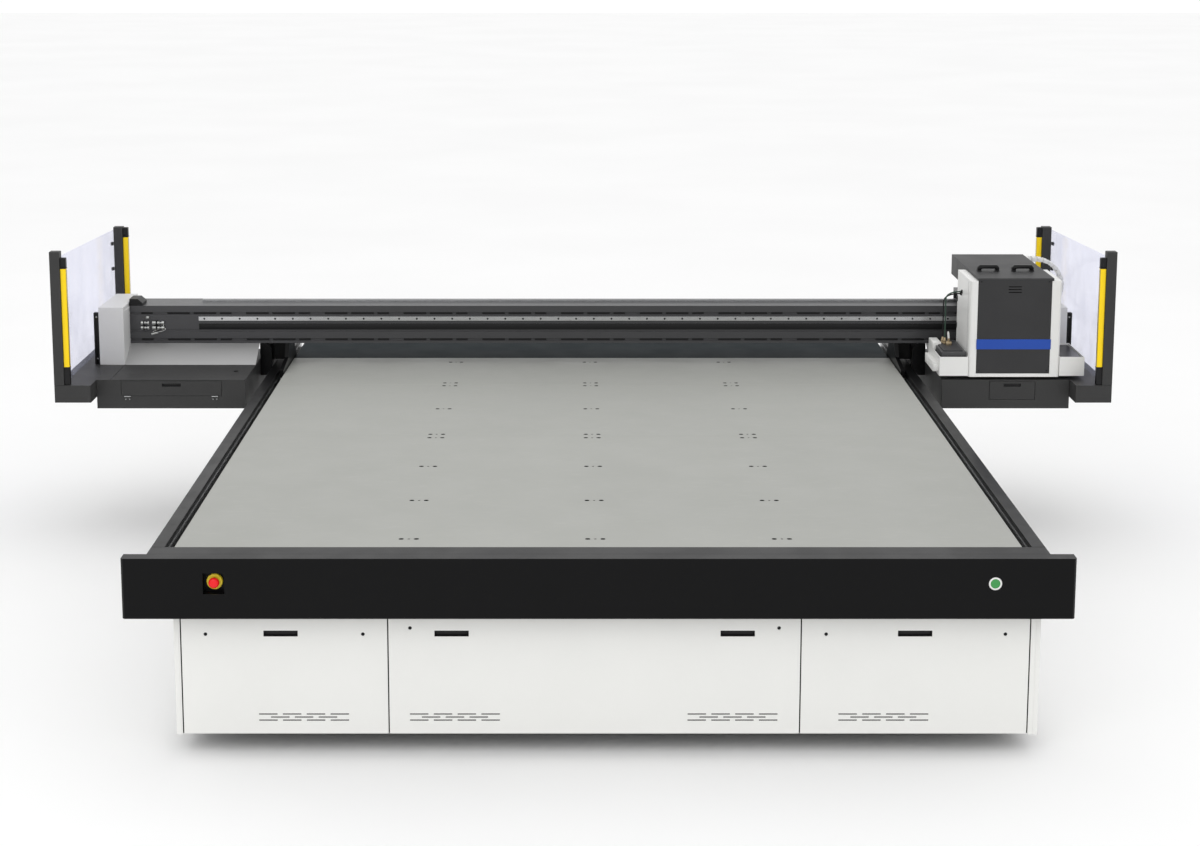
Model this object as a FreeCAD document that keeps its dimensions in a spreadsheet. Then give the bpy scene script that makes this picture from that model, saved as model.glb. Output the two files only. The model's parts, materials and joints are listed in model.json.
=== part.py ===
"""Flatbed UV printer: a vacuum bed on a steel cabinet, with a gantry that travels along it.

Millimetres, +Z up.  The origin is the bottom centre of the bounding box.  The front apron faces -Y.
The gantry is centred on X = 0, and the bed stands a little to the right of it.
"""
import FreeCAD, Part
import math
import os
import re
import Sketcher
from FreeCAD import Placement, Rotation, Vector

SIZES = [
    # bed and base
    ("bed_center", 48, "X of the bed's middle"),
    ("bed_front", -1975, "Y of the bed's front edge"),
    ("bed_top", 800, "height of the bed's top face"),
    ("bed_width", 3180, "width of the bed"),
    ("bed_length", 3490, "length of the bed"),
    ("plate_thickness", 30, "thickness of a bed plate"),
    ("plate_gap", 1, "seam between two bed plates"),
    ("seam_one", 1745, "first seam, from the bed's front edge"),
    ("seam_two", 2837, "second seam, from the bed's front edge"),
    ("hole_first", 107, "first row of registration holes, from the front edge"),
    ("hole_pitch", 546, "distance between rows of holes"),
    ("hole_column", 709, "distance between columns of holes"),
    ("hole_shift", -10, "X of the middle column, from the bed's middle"),
    ("hole_spacing", 29, "distance between the holes of a group"),
    ("hole_large", 20, "diameter of a suction hole"),
    ("hole_small", 10, "diameter of a pin hole"),
    ("seam_row", 33, "distance of a row of holes from its seam"),
    ("base_end", 4100, "rear end of the base, from the bed's front edge"),
    ("rail_channel", 37, "width of the rail channel beside the bed"),
    ("frame_wall", 51, "width of a side frame's outer wall"),
    ("frame_height", 140, "height of a side frame"),
    ("channel_depth", 60, "depth of the rail channel"),
    ("deck_thickness", 18, "thickness of the rear deck"),
    ("deck_drop", 2, "rear deck below the bed's top face"),
    ("plenum_height", 70, "height of the vacuum box under the bed"),
    ("plenum_wall", 6, "wall of the vacuum box"),
    # apron and its controls
    ("apron_width", 3526, "width of the front apron"),
    ("apron_height", 231, "height of the front apron"),
    ("apron_depth", 60, "depth of the front apron"),
    ("apron_front", -150, "front face of the apron, from the bed's front edge"),
    ("apron_corner", 8, "bevel of the apron's ends"),
    ("stop_x", -1422, "X of the emergency stop, from the bed's middle"),
    ("start_x", 1465, "X of the start button, from the bed's middle"),
    ("control_drop", 96, "controls below the bed's top face"),
    ("recess_side", 80, "side of the square recess of the emergency stop"),
    ("recess_depth", 40, "depth of that recess"),
    ("stop_disc", 60, "diameter of the yellow disc"),
    ("stop_head", 40, "diameter of the mushroom head"),
    ("stop_stem", 20, "diameter of the mushroom's stem"),
    ("start_ring", 50, "diameter of the start button's bezel"),
    ("start_cap", 36, "diameter of the start button"),
    # cabinet
    ("cabinet_left", -1594, "left side of the cabinet, from the bed's middle"),
    ("cabinet_right", 1661, "right side of the cabinet, from the bed's middle"),
    ("cabinet_front", -50, "front of the cabinet, from the bed's front edge"),
    ("cabinet_bottom", 80, "underside of the cabinet"),
    ("panel_top", 555, "top edge of the front panels"),
    ("header_top", 655, "top edge of the header above the front panels"),
    ("panel_lift", 4, "front panels above the cabinet's underside"),
    ("sheet", 18, "thickness of a folded cabinet panel"),
    ("hinge_back", 6, "hinge axis behind the front panels and above their lower edges"),
    ("hinge_pin", 8, "diameter of a panel's hinge pin"),
    ("hinge_length", 60, "length of a panel's hinge pin"),
    ("sill_back", 16, "sill behind the front panels"),
    ("sill_side", 30, "side of the sill"),
    ("gap_one", -1568, "gap left of the left panel"),
    ("gap_two", -790, "gap between left and centre panels"),
    ("gap_three", 762, "gap between centre and right panels"),
    ("gap_four", 1622, "gap right of the right panel"),
    ("gap_width", 5, "width of a panel gap"),
    ("slot_width", 129, "width of a handle slot"),
    ("slot_height", 23, "height of a handle slot"),
    ("slot_bottom", 383, "handle slots above the panels' bottom edge"),
    ("slot_depth", 12, "depth of a handle slot"),
    ("slot_left", -1257, "left end of the left panel's handle slot"),
    ("slot_center_one", -615, "left end of the centre panel's first handle slot"),
    ("slot_center_two", 459, "left end of the centre panel's second handle slot"),
    ("slot_right", 1125, "left end of the right panel's handle slot"),
    ("vent_width", 70, "width of a ventilation slot"),
    ("vent_height", 4.5, "height of a ventilation slot"),
    ("vent_pitch", 90, "distance between ventilation slots"),
    ("vent_bottom", 51, "lowest row of slots above the panel's bottom edge"),
    ("vent_row", 12, "distance between rows of slots"),
    ("vent_left", -1281, "left end of the left panel's ventilation slots"),
    ("vent_center_one", -711, "left end of the centre panel's first slots"),
    ("vent_center_two", 338, "left end of the centre panel's second slots"),
    ("vent_right", 908, "left end of the right panel's ventilation slots"),
    ("lock_size", 14, "diameter of a panel lock"),
    ("lock_inset", 91, "locks from the side edges of an outer panel"),
    ("lock_inset_center", 81, "locks from the side edges of the centre panel"),
    ("lock_height", 392, "locks above the panels' bottom edge"),
    ("lock_height_center", 416, "locks above the centre panel's bottom edge"),
    # inner frame
    ("tube", 80, "side of a frame tube"),
    ("tube_wall", 5, "wall of a frame tube"),
    ("foot_disc", 120, "diameter of a levelling foot"),
    # gantry
    ("gantry_half", 2632, "half of the gantry's width"),
    ("station_front", 2816, "front of the stations, from the bed's front edge"),
    ("station_back", 3600, "back of the stations"),
    ("station_top", 28, "top of the stations above the bed"),
    ("station_drop", 120, "bottom of the stations below the bed"),
    ("station_outer", 2452, "outer end of a station"),
    ("station_left_inner", -1702, "inner end of the left station"),
    ("station_right_inner", 1808, "inner end of the right station"),
    ("station_wall", 4, "wall of a station"),
    ("grip_half", 8, "half of the height of the door's and the drawer's finger slots"),
    ("beam_front", 3336, "front face of the beam, from the bed's front edge"),
    ("beam_depth", 220, "depth of the beam"),
    ("beam_bottom", 112, "underside of the beam above the bed"),
    ("beam_height", 200, "height of the beam"),
    ("beam_half", 2382, "half of the beam's length"),
    ("beam_wall", 16, "wall of the beam"),
    ("rail_inset", 14, "from the bed's side to the middle of the gantry's rail"),
    ("block_top", 22, "top of the gantry's rail blocks, below the bed"),
    ("knee_gap", 10, "room between a leg's knee and the side frame"),
    ("knee_round", 40, "rounding of a knee's upper inner edge"),
    ("bridge_low", 14, "underside of the plate between a leg and its knee, above the bed"),
    ("bridge_inset", 60, "from the beam's front back to that plate"),
    ("tray_floor", 190, "underside of the cable tray above the bed"),
    ("column_front", 3180, "front of the column covers"),
    ("column_width", 130, "width of a column cover"),
    ("column_top", 330, "top of the column covers above the bed"),
    ("column_bevel", 22, "bevel on the top of a column cover"),
    ("guard_front", 2680, "front of the guard bases"),
    ("guard_back", 4000, "back of the guard bases"),
    ("guard_drop", 60, "bottom of the guard bases below the bed"),
    ("post_side", 50, "side of a guard post"),
    ("post_top", 700, "top of the front posts above the bed"),
    ("rear_post_top", 640, "top of the rear posts above the bed"),
    ("window_sheet", 6, "thickness of a guard window"),
    ("tray_end", 2588, "right end of the cable tray"),
    ("loop_center", 2436, "X of the middle of the energy chain's loop"),
    # carriage
    ("head_left", 1938, "left side of the carriage housing"),
    ("head_width", 459, "width of the carriage housing"),
    ("head_depth", 360, "depth of the carriage housing"),
    ("head_bottom", 43, "underside of the housing above the bed"),
    ("head_top", 531, "top of the housing above the bed"),
    ("head_column", 39, "width of the housing's corner columns"),
    ("head_wall", 4, "wall of the housing"),
    ("lid_rise", 14, "top of the lid above the housing"),
    ("skirt_left", 1794, "left end of the skirt"),
    ("skirt_right", 2523, "right end of the skirt"),
    ("skirt_top", 145, "top of the skirt above the bed"),
    ("stripe_low", 185, "lower edge of the stripe on the front cover"),
    ("stripe_high", 236, "upper edge of that stripe"),
    ("hose_size", 7, "diameter of a lamp hose"),
    ("hose_bend", 60, "radius of a lamp hose's bend"),
]
ALIASES = {alias: size for alias, size, note in SIZES}
WORDS = re.compile(r"[a-z][a-z_]*")

doc = FreeCAD.newDocument("FlatbedPrinter")
sheet = doc.addObject("Spreadsheet::Sheet", "Sizes")
nodes = []


def fill_sheet():
    """Put every driving dimension in the sheet, with its alias."""
    for row, (alias, size, note) in enumerate(SIZES, start=1):
        sheet.set("A%d" % row, note)
        sheet.set("B%d" % row, str(size))
        sheet.setAlias("B%d" % row, alias)
    doc.recompute()


def bind(formula):
    """A formula in the sheet's aliases, as an expression of the document."""
    return WORDS.sub(lambda word: "Sizes." + word.group(0), str(formula))


def place(thing, x, y, z):
    """Bind a thing's position."""
    thing.setExpression("Placement.Base.x", bind(x))
    thing.setExpression("Placement.Base.y", bind(y))
    thing.setExpression("Placement.Base.z", bind(z))


def node(label, thing):
    """Declare a thing as one of the printer's sub-parts."""
    thing.Label = label
    nodes.append(thing)
    return thing


def bed_x(offset):
    """X of a point given from the bed's middle."""
    return "bed_center + (%s)" % offset


def bed_y(offset):
    """Y of a point given from the bed's front edge."""
    return "bed_front + (%s)" % offset


def bed_z(offset):
    """Z of a point given from the bed's top face."""
    return "bed_top + (%s)" % offset


# ---------------------------------------------------------------- primitives and booleans

def block(x, y, z):
    """A box between two X, two Y and two Z formulas."""
    box = doc.addObject("Part::Box", "Block")
    place(box, x[0], y[0], z[0])
    for prop, (low, high) in (("Length", x), ("Width", y), ("Height", z)):
        box.setExpression(prop, bind("(%s) - (%s)" % (high, low)))
    return box


def rod(axis, x, y, z, radius, length):
    """A cylinder from a point along +X, -Y, +Y or +Z."""
    turns = {"x": Rotation(Vector(0, 1, 0), 90), "z": Rotation(),
             "-y": Rotation(Vector(1, 0, 0), 90), "y": Rotation(Vector(1, 0, 0), -90)}
    cylinder = doc.addObject("Part::Cylinder", "Rod")
    cylinder.Placement = Placement(Vector(), turns[axis])
    place(cylinder, x, y, z)
    cylinder.setExpression("Radius", bind(radius))
    cylinder.setExpression("Height", bind(length))
    return cylinder


def cut(base, *tools):
    """A base with tools taken away."""
    result = doc.addObject("Part::Cut", "Cut")
    result.Base = base
    result.Tool = tools[0] if len(tools) == 1 else fuse(*tools)
    return result


def fuse(*pieces):
    """Pieces joined into one solid."""
    result = doc.addObject("Part::MultiFuse", "Fuse")
    result.Shapes = list(pieces)
    return result


def group(*pieces):
    """Separate solids kept together in one sub-part."""
    result = doc.addObject("Part::Compound", "Group")
    result.Links = list(pieces)
    return result


def mirrored(thing, x=0):
    """The same piece on the other side of a plane of constant X."""
    result = doc.addObject("Part::Mirroring", "Mirror")
    result.Source = thing
    result.Normal = Vector(1, 0, 0)
    result.Base = Vector(x, 0, 0)
    return result


def shell(x, y, z, wall, open_side):
    """A box with walls all round but one open side: 'top', 'bottom' or 'back'."""
    inner_x = ["(%s) + %s" % (x[0], wall), "(%s) - %s" % (x[1], wall)]
    inner_y = ["(%s) + %s" % (y[0], wall), "(%s) - %s" % (y[1], wall)]
    inner_z = ["(%s) + %s" % (z[0], wall), "(%s) - %s" % (z[1], wall)]
    if open_side == "top":
        inner_z[1] = "(%s) + 1" % z[1]
    if open_side == "bottom":
        inner_z[0] = "(%s) - 1" % z[0]
    if open_side == "back":
        inner_y[1] = "(%s) + 1" % y[1]
    return cut(block(x, y, z), block(inner_x, inner_y, inner_z))


# ---------------------------------------------------------------- bodies made from sketches

class Made:
    """A PartDesign body under construction."""

    def __init__(self, label, x, y, z, alone=True):
        self.body = doc.addObject("PartDesign::Body", label)
        place(self.body, x, y, z)
        if alone:
            node(label, self.body)

    def sketch(self, role, lift=None):
        """A sketch on one of the body's own origin planes."""
        sketch = self.body.newObject("Sketcher::SketchObject", "Sketch")
        planes = [item for item in self.body.Origin.OriginFeatures if item.Role == role]
        sketch.AttachmentSupport = (planes[0], [""])
        sketch.MapMode = "FlatFace"
        if lift is not None:
            sketch.setExpression("AttachmentOffset.Base.z", bind(lift))
        return sketch

    def pad(self, sketch, length, reverse=False):
        """Extrude a sketch."""
        pad = self.body.newObject("PartDesign::Pad", "Pad")
        pad.Profile = sketch
        pad.setExpression("Length", bind(length))
        pad.Reversed = reverse
        return pad

    def pocket(self, sketch, length):
        """Cut a sketch into the body, from the sketch against its normal."""
        before = self.volume()
        pocket = self.body.newObject("PartDesign::Pocket", "Pocket")
        pocket.Profile = sketch
        pocket.setExpression("Length", bind(length))
        if not self.volume() < before - 1:
            raise RuntimeError("a pocket of %s cuts nothing" % self.body.Label)
        return pocket

    def volume(self):
        """The volume so far."""
        doc.recompute()
        return self.body.Shape.Volume

    def edges(self, feature, test):
        """The names of a feature's edges that pass a test on their two end points."""
        doc.recompute()
        names = []
        for index, edge in enumerate(feature.Shape.Edges, start=1):
            ends = [vertex.Point for vertex in edge.Vertexes]
            if len(ends) == 2 and test(ends[0], ends[1]):
                names.append("Edge%d" % index)
        return names

    def fillet(self, feature, radius, test):
        """Round the edges that pass a test."""
        fillet = self.body.newObject("PartDesign::Fillet", "Fillet")
        fillet.Base = (feature, self.edges(feature, test))
        fillet.setExpression("Radius", bind(radius))
        return fillet

    def chamfer(self, feature, size, test):
        """Bevel the edges that pass a test."""
        chamfer = self.body.newObject("PartDesign::Chamfer", "Chamfer")
        chamfer.Base = (feature, self.edges(feature, test))
        chamfer.setExpression("Size", bind(size))
        return chamfer


def dimension(sketch, kind, geometry, point, formula):
    """Hold a sketch point at a bound distance from the sketch's origin."""
    index = sketch.addConstraint(Sketcher.Constraint(kind, -1, 1, geometry, point, 1.0))
    sketch.setExpression("Constraints[%d]" % index, bind(formula))


def polygon(sketch, points):
    """A closed outline of straight lines through bound points, all in the first quadrant."""
    first = sketch.GeometryCount
    count = len(points)
    rough = [Vector(40 * (index % 2), 30 * index, 0) for index in range(count)]
    for index in range(count):
        sketch.addGeometry(Part.LineSegment(rough[index], rough[(index + 1) % count]), False)
    for index in range(count):
        following = first + (index + 1) % count
        sketch.addConstraint(Sketcher.Constraint("Coincident", first + index, 2, following, 1))
    for index, (x, y) in enumerate(points):
        dimension(sketch, "DistanceX", first + index, 1, x)
        dimension(sketch, "DistanceY", first + index, 1, y)


def rectangle(sketch, x, y):
    """A closed rectangle between two X and two Y formulas."""
    polygon(sketch, [(x[0], y[0]), (x[1], y[0]), (x[1], y[1]), (x[0], y[1])])


def circle(sketch, x, y, radius):
    """A circle with a bound centre and radius."""
    index = sketch.addGeometry(Part.Circle(Vector(1, 1, 0), Vector(0, 0, 1), 1), False)
    dimension(sketch, "DistanceX", index, 3, x)
    dimension(sketch, "DistanceY", index, 3, y)
    hold = sketch.addConstraint(Sketcher.Constraint("Radius", index, 1.0))
    sketch.setExpression("Constraints[%d]" % hold, bind(radius))


def upright(one, two):
    """True for an edge along Z."""
    return abs(one.x - two.x) < 0.01 and abs(one.y - two.y) < 0.01


def along_x(one, two):
    """True for an edge along X."""
    return abs(one.z - two.z) < 0.01 and abs(one.y - two.y) < 0.01


# ---------------------------------------------------------------- cabinet and inner frame

TUBE_COLUMNS = (-1400, 0, 1400)
TUBE_ROWS = (260, 2050, 3860)
HINGE_STARTS = (-1500, -920, -650, 560, 830, 1490)


def hollow_tube(x, y, z, along):
    """A square steel tube, open at both ends."""
    inner = []
    for axis, (low, high) in zip("xyz", (x, y, z)):
        if axis == along:
            inner.append(("(%s) - 1" % low, "(%s) + 1" % high))
        else:
            inner.append(("(%s) + tube_wall" % low, "(%s) - tube_wall" % high))
    return cut(block(x, y, z), block(*inner))


def across(center, half="tube / 2"):
    """The two faces of something centred on a formula."""
    return ("(%s) - (%s)" % (center, half), "(%s) + (%s)" % (center, half))


def make_base_frame():
    """Welded square tubes: cross tubes, long tubes on them, legs, and the same again on top."""
    tubes = []
    plenum_floor = "bed_top - plate_thickness - plenum_height"
    long_y = (bed_y(60), bed_y("base_end - 60"))
    cross_x = (bed_x(-1530), bed_x(1530))
    for row in TUBE_ROWS:
        cross_y = across(bed_y(row))
        tubes.append(hollow_tube(cross_x, cross_y, ("cabinet_bottom", "cabinet_bottom + tube"), "x"))
        tubes.append(hollow_tube(cross_x, cross_y, (plenum_floor + " - tube", plenum_floor), "x"))
    for column in TUBE_COLUMNS:
        long_x = across(bed_x(column))
        lower = ("cabinet_bottom + tube", "cabinet_bottom + 2 * tube")
        upper = (plenum_floor + " - 2 * tube", plenum_floor + " - tube")
        tubes.append(hollow_tube(long_x, long_y, lower, "y"))
        tubes.append(hollow_tube(long_x, long_y, upper, "y"))
        for row in TUBE_ROWS:
            tubes.append(hollow_tube(long_x, across(bed_y(row)), (lower[1], upper[0]), "z"))
    node("base_frame", group(*tubes))


def make_feet():
    """A levelling foot under each crossing of the lower tubes."""
    feet = []
    for column in TUBE_COLUMNS:
        for row in TUBE_ROWS:
            pad = rod("z", bed_x(column), bed_y(row), 0, "foot_disc / 2", 16)
            nut = rod("z", bed_x(column), bed_y(row), 15, 26, 14)
            stud = rod("z", bed_x(column), bed_y(row), 15, 12, "cabinet_bottom - 15")
            feet.append(fuse(pad, nut, stud))
    node("levelling_feet", group(*feet))


def add_vents(made, left, sheet_depth):
    """Three staggered rows of ventilation slots, four, three and four, cut through a panel."""
    sketch = made.sketch("XZ_Plane", sheet_depth)
    for row, count in enumerate((4, 3, 4)):
        for index in range(count):
            start = "%s + %g * vent_pitch" % (left, index + 0.5 * (row % 2))
            bottom = "vent_bottom + %d * vent_row" % row
            rectangle(sketch, (start, start + " + vent_width"), (bottom, bottom + " + vent_height"))
    made.pocket(sketch, sheet_depth + " + 1")


def make_front_panel(label, left, right, slots, vents, lock_inset, lock_height):
    """A tilting cabinet panel with handle slots, ventilation slots and two lock holes."""
    start = "(%s + gap_width / 2)" % left
    width = "%s - %s - gap_width" % (right, left)
    made = Made(label, bed_x(start), bed_y("cabinet_front + sheet"), "cabinet_bottom + panel_lift")
    outline = made.sketch("XZ_Plane")
    rectangle(outline, (0, width), (0, "panel_top - cabinet_bottom - panel_lift"))
    made.pad(outline, "sheet")
    grips = made.sketch("XZ_Plane", "sheet")
    for slot in slots:
        grip_x = ("%s - %s" % (slot, start), "%s - %s + slot_width" % (slot, start))
        rectangle(grips, grip_x, ("slot_bottom", "slot_bottom + slot_height"))
    made.pocket(grips, "slot_depth")
    locks = made.sketch("XZ_Plane", "sheet")
    circle(locks, lock_inset, lock_height, "lock_size / 2")
    circle(locks, "%s - %s" % (width, lock_inset), lock_height, "lock_size / 2")
    made.pocket(locks, "slot_depth")
    for vent in vents:
        add_vents(made, "%s - %s" % (vent, start), "sheet")


def hinge_sill(x):
    """The sill low behind the front panels, with two hinge pins on short leaves for each panel."""
    back = "cabinet_front + sheet + sill_back"
    pieces = [block(x, (bed_y(back), bed_y(back + " + sill_side")),
                    ("cabinet_bottom", "cabinet_bottom + sill_side"))]
    axis_y = bed_y("cabinet_front + sheet + hinge_back")
    axis_z = "cabinet_bottom + panel_lift + hinge_back"
    for start in HINGE_STARTS:
        pieces.append(rod("x", bed_x(start), axis_y, axis_z, "hinge_pin / 2", "hinge_length"))
        pieces.append(block((bed_x(start), bed_x("%d + hinge_length" % start)),
                            (axis_y, bed_y(back + " + 1")), across(axis_z, 2)))
    return fuse(*pieces)


def make_cabinet():
    """The white panels round the frame."""
    height = ("cabinet_bottom", "header_top")
    side_y = (bed_y("cabinet_front"), bed_y("base_end"))
    left = (bed_x("cabinet_left"), bed_x("cabinet_left + sheet"))
    right = (bed_x("cabinet_right - sheet"), bed_x("cabinet_right"))
    node("side_panels", group(block(left, side_y, height), block(right, side_y, height)))
    strip_y = (bed_y("cabinet_front"), bed_y("cabinet_front + sheet"))
    strips = [block((left[1], bed_x("gap_one - gap_width / 2")), strip_y, height),
              block((bed_x("gap_four + gap_width / 2"), right[0]), strip_y, height),
              block((bed_x("gap_one + gap_width"), bed_x("gap_four - gap_width")), strip_y,
                    ("panel_top + gap_width", "header_top"))]
    node("front_frame", group(*(strips + [hinge_sill((left[1], right[0]))])))
    make_front_panel("front_panel_left", "gap_one", "gap_two", ["slot_left"], ["vent_left"],
                     "lock_inset", "lock_height")
    make_front_panel("front_panel_centre", "gap_two", "gap_three",
                     ["slot_center_one", "slot_center_two"], ["vent_center_one", "vent_center_two"],
                     "lock_inset_center", "lock_height_center")
    make_front_panel("front_panel_right", "gap_three", "gap_four", ["slot_right"], ["vent_right"],
                     "lock_inset", "lock_height")
    rear = Made("rear_panel", left[1], bed_y("base_end"), "cabinet_bottom")
    outline = rear.sketch("XZ_Plane")
    width = "cabinet_right - cabinet_left - 2 * sheet"
    rectangle(outline, (0, width), (0, "header_top - cabinet_bottom"))
    rear.pad(outline, "sheet")
    for start in (300, 1400, 2500):
        add_vents(rear, start, "sheet")


def make_inside():
    """The vacuum pump and the electrical cabinet that stand inside."""
    floor = "cabinet_bottom + 2 * tube"
    outer = (bed_x(-1150), bed_x(-350)), (bed_y(700), bed_y(1300)), (floor, floor + " + 260")
    inner = (bed_x(-1146), bed_x(-354)), (bed_y(704), bed_y(1296)), (floor + " + 4", floor + " + 256")
    node("control_cabinet", cut(block(*outer), block(*inner)))
    middle = floor + " + 150"
    pump = fuse(rod("x", bed_x(400), bed_y(1000), middle, 130, 420),
                rod("x", bed_x(820), bed_y(1000), middle, 150, 120),
                rod("z", bed_x(880), bed_y(1000), middle, 45, 180),
                block((bed_x(420), bed_x(900)), (bed_y(880), bed_y(1120)), (floor, floor + " + 40")))
    node("vacuum_pump", pump)


# ---------------------------------------------------------------- bed

PLATES = (("bed_plate_front", "0", "seam_one - plate_gap",
           ("hole_first", "hole_first + hole_pitch", "hole_first + 2 * hole_pitch",
            "seam_one - seam_row")),
          ("bed_plate_middle", "seam_one", "seam_two - plate_gap",
           ("seam_one + seam_row", "hole_first + 4 * hole_pitch", "seam_two - seam_row")),
          ("bed_plate_rear", "seam_two", "bed_length",
           ("seam_two + seam_row", "hole_first + 6 * hole_pitch")))


def make_bed():
    """Three aluminium plates with groups of two suction holes and a pin hole."""
    for label, start, end, rows in PLATES:
        made = Made(label, bed_x("-bed_width / 2"), bed_y(start), bed_z("-plate_thickness"))
        outline = made.sketch("XY_Plane")
        rectangle(outline, (0, "bed_width"), (0, "%s - (%s)" % (end, start)))
        made.pad(outline, "plate_thickness")
        holes = made.sketch("XY_Plane", "plate_thickness")
        for row in rows:
            for column in (-1, 0, 1):
                middle = "bed_width / 2 + hole_shift + %d * hole_column" % column
                depth = "%s - (%s)" % (row, start)
                circle(holes, middle, depth, "hole_small / 2")
                circle(holes, middle + " - hole_spacing", depth, "hole_large / 2")
                circle(holes, middle + " + hole_spacing", depth, "hole_large / 2")
        made.pocket(holes, "plate_thickness + 1")
    plenum_z = (bed_z("-plate_thickness - plenum_height"), bed_z("-plate_thickness"))
    plenum_x = across("bed_center", "bed_width / 2 - 10")
    plenum_y = (bed_y(10), bed_y("bed_length - 10"))
    node("vacuum_plenum", shell(plenum_x, plenum_y, plenum_z, "plenum_wall", "top"))
    deck_z = (bed_z("-deck_drop - deck_thickness"), bed_z("-deck_drop"))
    deck_y = (bed_y("bed_length + plate_gap"), bed_y("base_end"))
    node("rear_deck", block(across("bed_center", "bed_width / 2 - 1"), deck_y, deck_z))


def make_pins():
    """Registration pins in the small holes, on three lifting bars inside the vacuum box."""
    pin_length = 76
    pin_play = 0.05
    bar_half = 15
    bar_thickness = 12
    bar_end = 30
    pieces = []
    for column in (-1, 0, 1):
        middle = bed_x("hole_shift + %d * hole_column" % column)
        rows = [row for plate in PLATES for row in plate[3]]
        radius = "hole_small / 2 - %s" % pin_play
        pins = [rod("z", middle, bed_y(row), bed_z(-pin_length - 1), radius, pin_length) for row in rows]
        bar_y = (bed_y("hole_first - %d" % bar_end), bed_y("hole_first + 6 * hole_pitch + %d" % bar_end))
        bar = block(across(middle, bar_half), bar_y, (bed_z(-pin_length - bar_thickness), bed_z(-pin_length)))
        pieces.append(fuse(bar, *pins))
    node("registration_pins", group(*pieces))


def make_side_frames():
    """Side frames with a rail channel on the bed's side, and the rails and magnets in it."""
    inner = "bed_width / 2"
    width = "rail_channel + frame_wall"
    ledge = "frame_height - channel_depth"
    bottom = bed_z("-frame_height")
    left = Made("left_frame", bed_x("-(%s) - (%s)" % (inner, width)), bed_y("base_end"), bottom, False)
    outline = left.sketch("XZ_Plane")
    polygon(outline, [(0, 0), (width, 0), (width, ledge), ("frame_wall", ledge),
                      ("frame_wall", "frame_height"), (0, "frame_height")])
    left.pad(outline, "base_end")
    right = Made("right_frame", bed_x(inner), bed_y("base_end"), bottom, False)
    outline = right.sketch("XZ_Plane")
    polygon(outline, [(0, 0), (width, 0), (width, "frame_height"), ("rail_channel", "frame_height"),
                      ("rail_channel", ledge), (0, ledge)])
    right.pad(outline, "base_end")
    node("side_frames", group(left.body, right.body))
    rail_y = (bed_y(15), bed_y("base_end - 15"))
    rails = []
    magnets = []
    for side in (-1, 1):
        rail = across(bed_x("%d * (%s + rail_inset)" % (side, inner)), 7)
        rails.append(block(rail, rail_y, (bed_z("-channel_depth"), bed_z("-channel_depth + 16"))))
        magnet = across(bed_x("%d * (%s + rail_channel - 1.5)" % (side, inner)), 1.5)
        magnets.append(block(magnet, rail_y, (bed_z("-channel_depth + 4"), bed_z(-26))))
    node("gantry_rails", group(*(rails + magnets)))
    front_y = (bed_y("apron_front + apron_depth"), bed_y(0))
    front = block(across("bed_center", "%s + %s" % (inner, width)), front_y, (bottom, bed_z(0)))
    rear_y = (bed_y("base_end - 90"), bed_y("base_end"))
    rear_z = (bottom, bed_z("-deck_drop - deck_thickness"))
    rear = block(across("bed_center", inner), rear_y, rear_z)
    node("crossbeams", group(front, rear))


# ---------------------------------------------------------------- apron and controls

def make_apron():
    """The black front apron with a square recess and a round bezel seat."""
    left = "bed_center - apron_width / 2"
    made = Made("front_apron", left, bed_y("apron_front + apron_depth"), bed_z("-apron_height"))
    outline = made.sketch("XZ_Plane")
    rectangle(outline, (0, "apron_width"), (0, "apron_height"))
    pad = made.pad(outline, "apron_depth")
    made.chamfer(pad, "apron_corner", lambda one, two: upright(one, two) and one.y < -1)
    height = "apron_height - control_drop"
    recess = made.sketch("XZ_Plane", "apron_depth")
    rectangle(recess, across("apron_width / 2 + stop_x", "recess_side / 2"),
              across(height, "recess_side / 2"))
    made.pocket(recess, "recess_depth")
    seat = made.sketch("XZ_Plane", "apron_depth")
    circle(seat, "apron_width / 2 + start_x", height, "start_ring / 2 + 0.3")
    made.pocket(seat, "recess_depth")


def turned(label, x, y, z, points):
    """A turned piece whose axis runs along -Y, from (radius, distance) points."""
    made = Made(label, x, y, z)
    made.body.Placement.Rotation = Rotation(Vector(1, 0, 0), 90)
    sketch = made.sketch("XZ_Plane")
    polygon(sketch, points)
    turn = made.body.newObject("PartDesign::Revolution", "Revolution")
    turn.Profile = sketch
    turn.ReferenceAxis = (sketch, ["V_Axis"])
    turn.Angle = 360
    return made


def make_controls():
    """Emergency stop and start button."""
    height = bed_z("-control_drop")
    floor = bed_y("apron_front + recess_depth")
    stop = bed_x("stop_x")
    bore = "stop_stem / 2 + 0.1"
    turned("estop_base", stop, floor, height,
           [(bore, 0), ("stop_disc / 2", 0), ("stop_disc / 2", 10), ("stop_disc / 2 - 2", 12),
            (bore, 12)])
    turned("estop_head", stop, floor, height,
           [(0, 6), ("stop_stem / 2", 6), ("stop_stem / 2", 20), ("stop_head / 2 - 3", 20),
            ("stop_head / 2", 24), ("stop_head / 2", 31), ("stop_head / 2 - 4", 36),
            ("stop_head / 2 - 9", 38), (0, 38)])
    start = bed_x("start_x")
    hole = "start_cap / 2 + 0.1"
    turned("start_bezel", start, floor, height,
           [(hole, 0), ("start_ring / 2", 0), ("start_ring / 2", 38), ("start_ring / 2 - 2", 39.5),
            (hole, 39.5)])
    turned("start_button", start, floor, height,
           [(0, 24), ("start_cap / 2", 24), ("start_cap / 2", 38), ("start_cap / 2 - 2", 39.5),
            (0, 39.5)])


# ---------------------------------------------------------------- gantry

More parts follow.
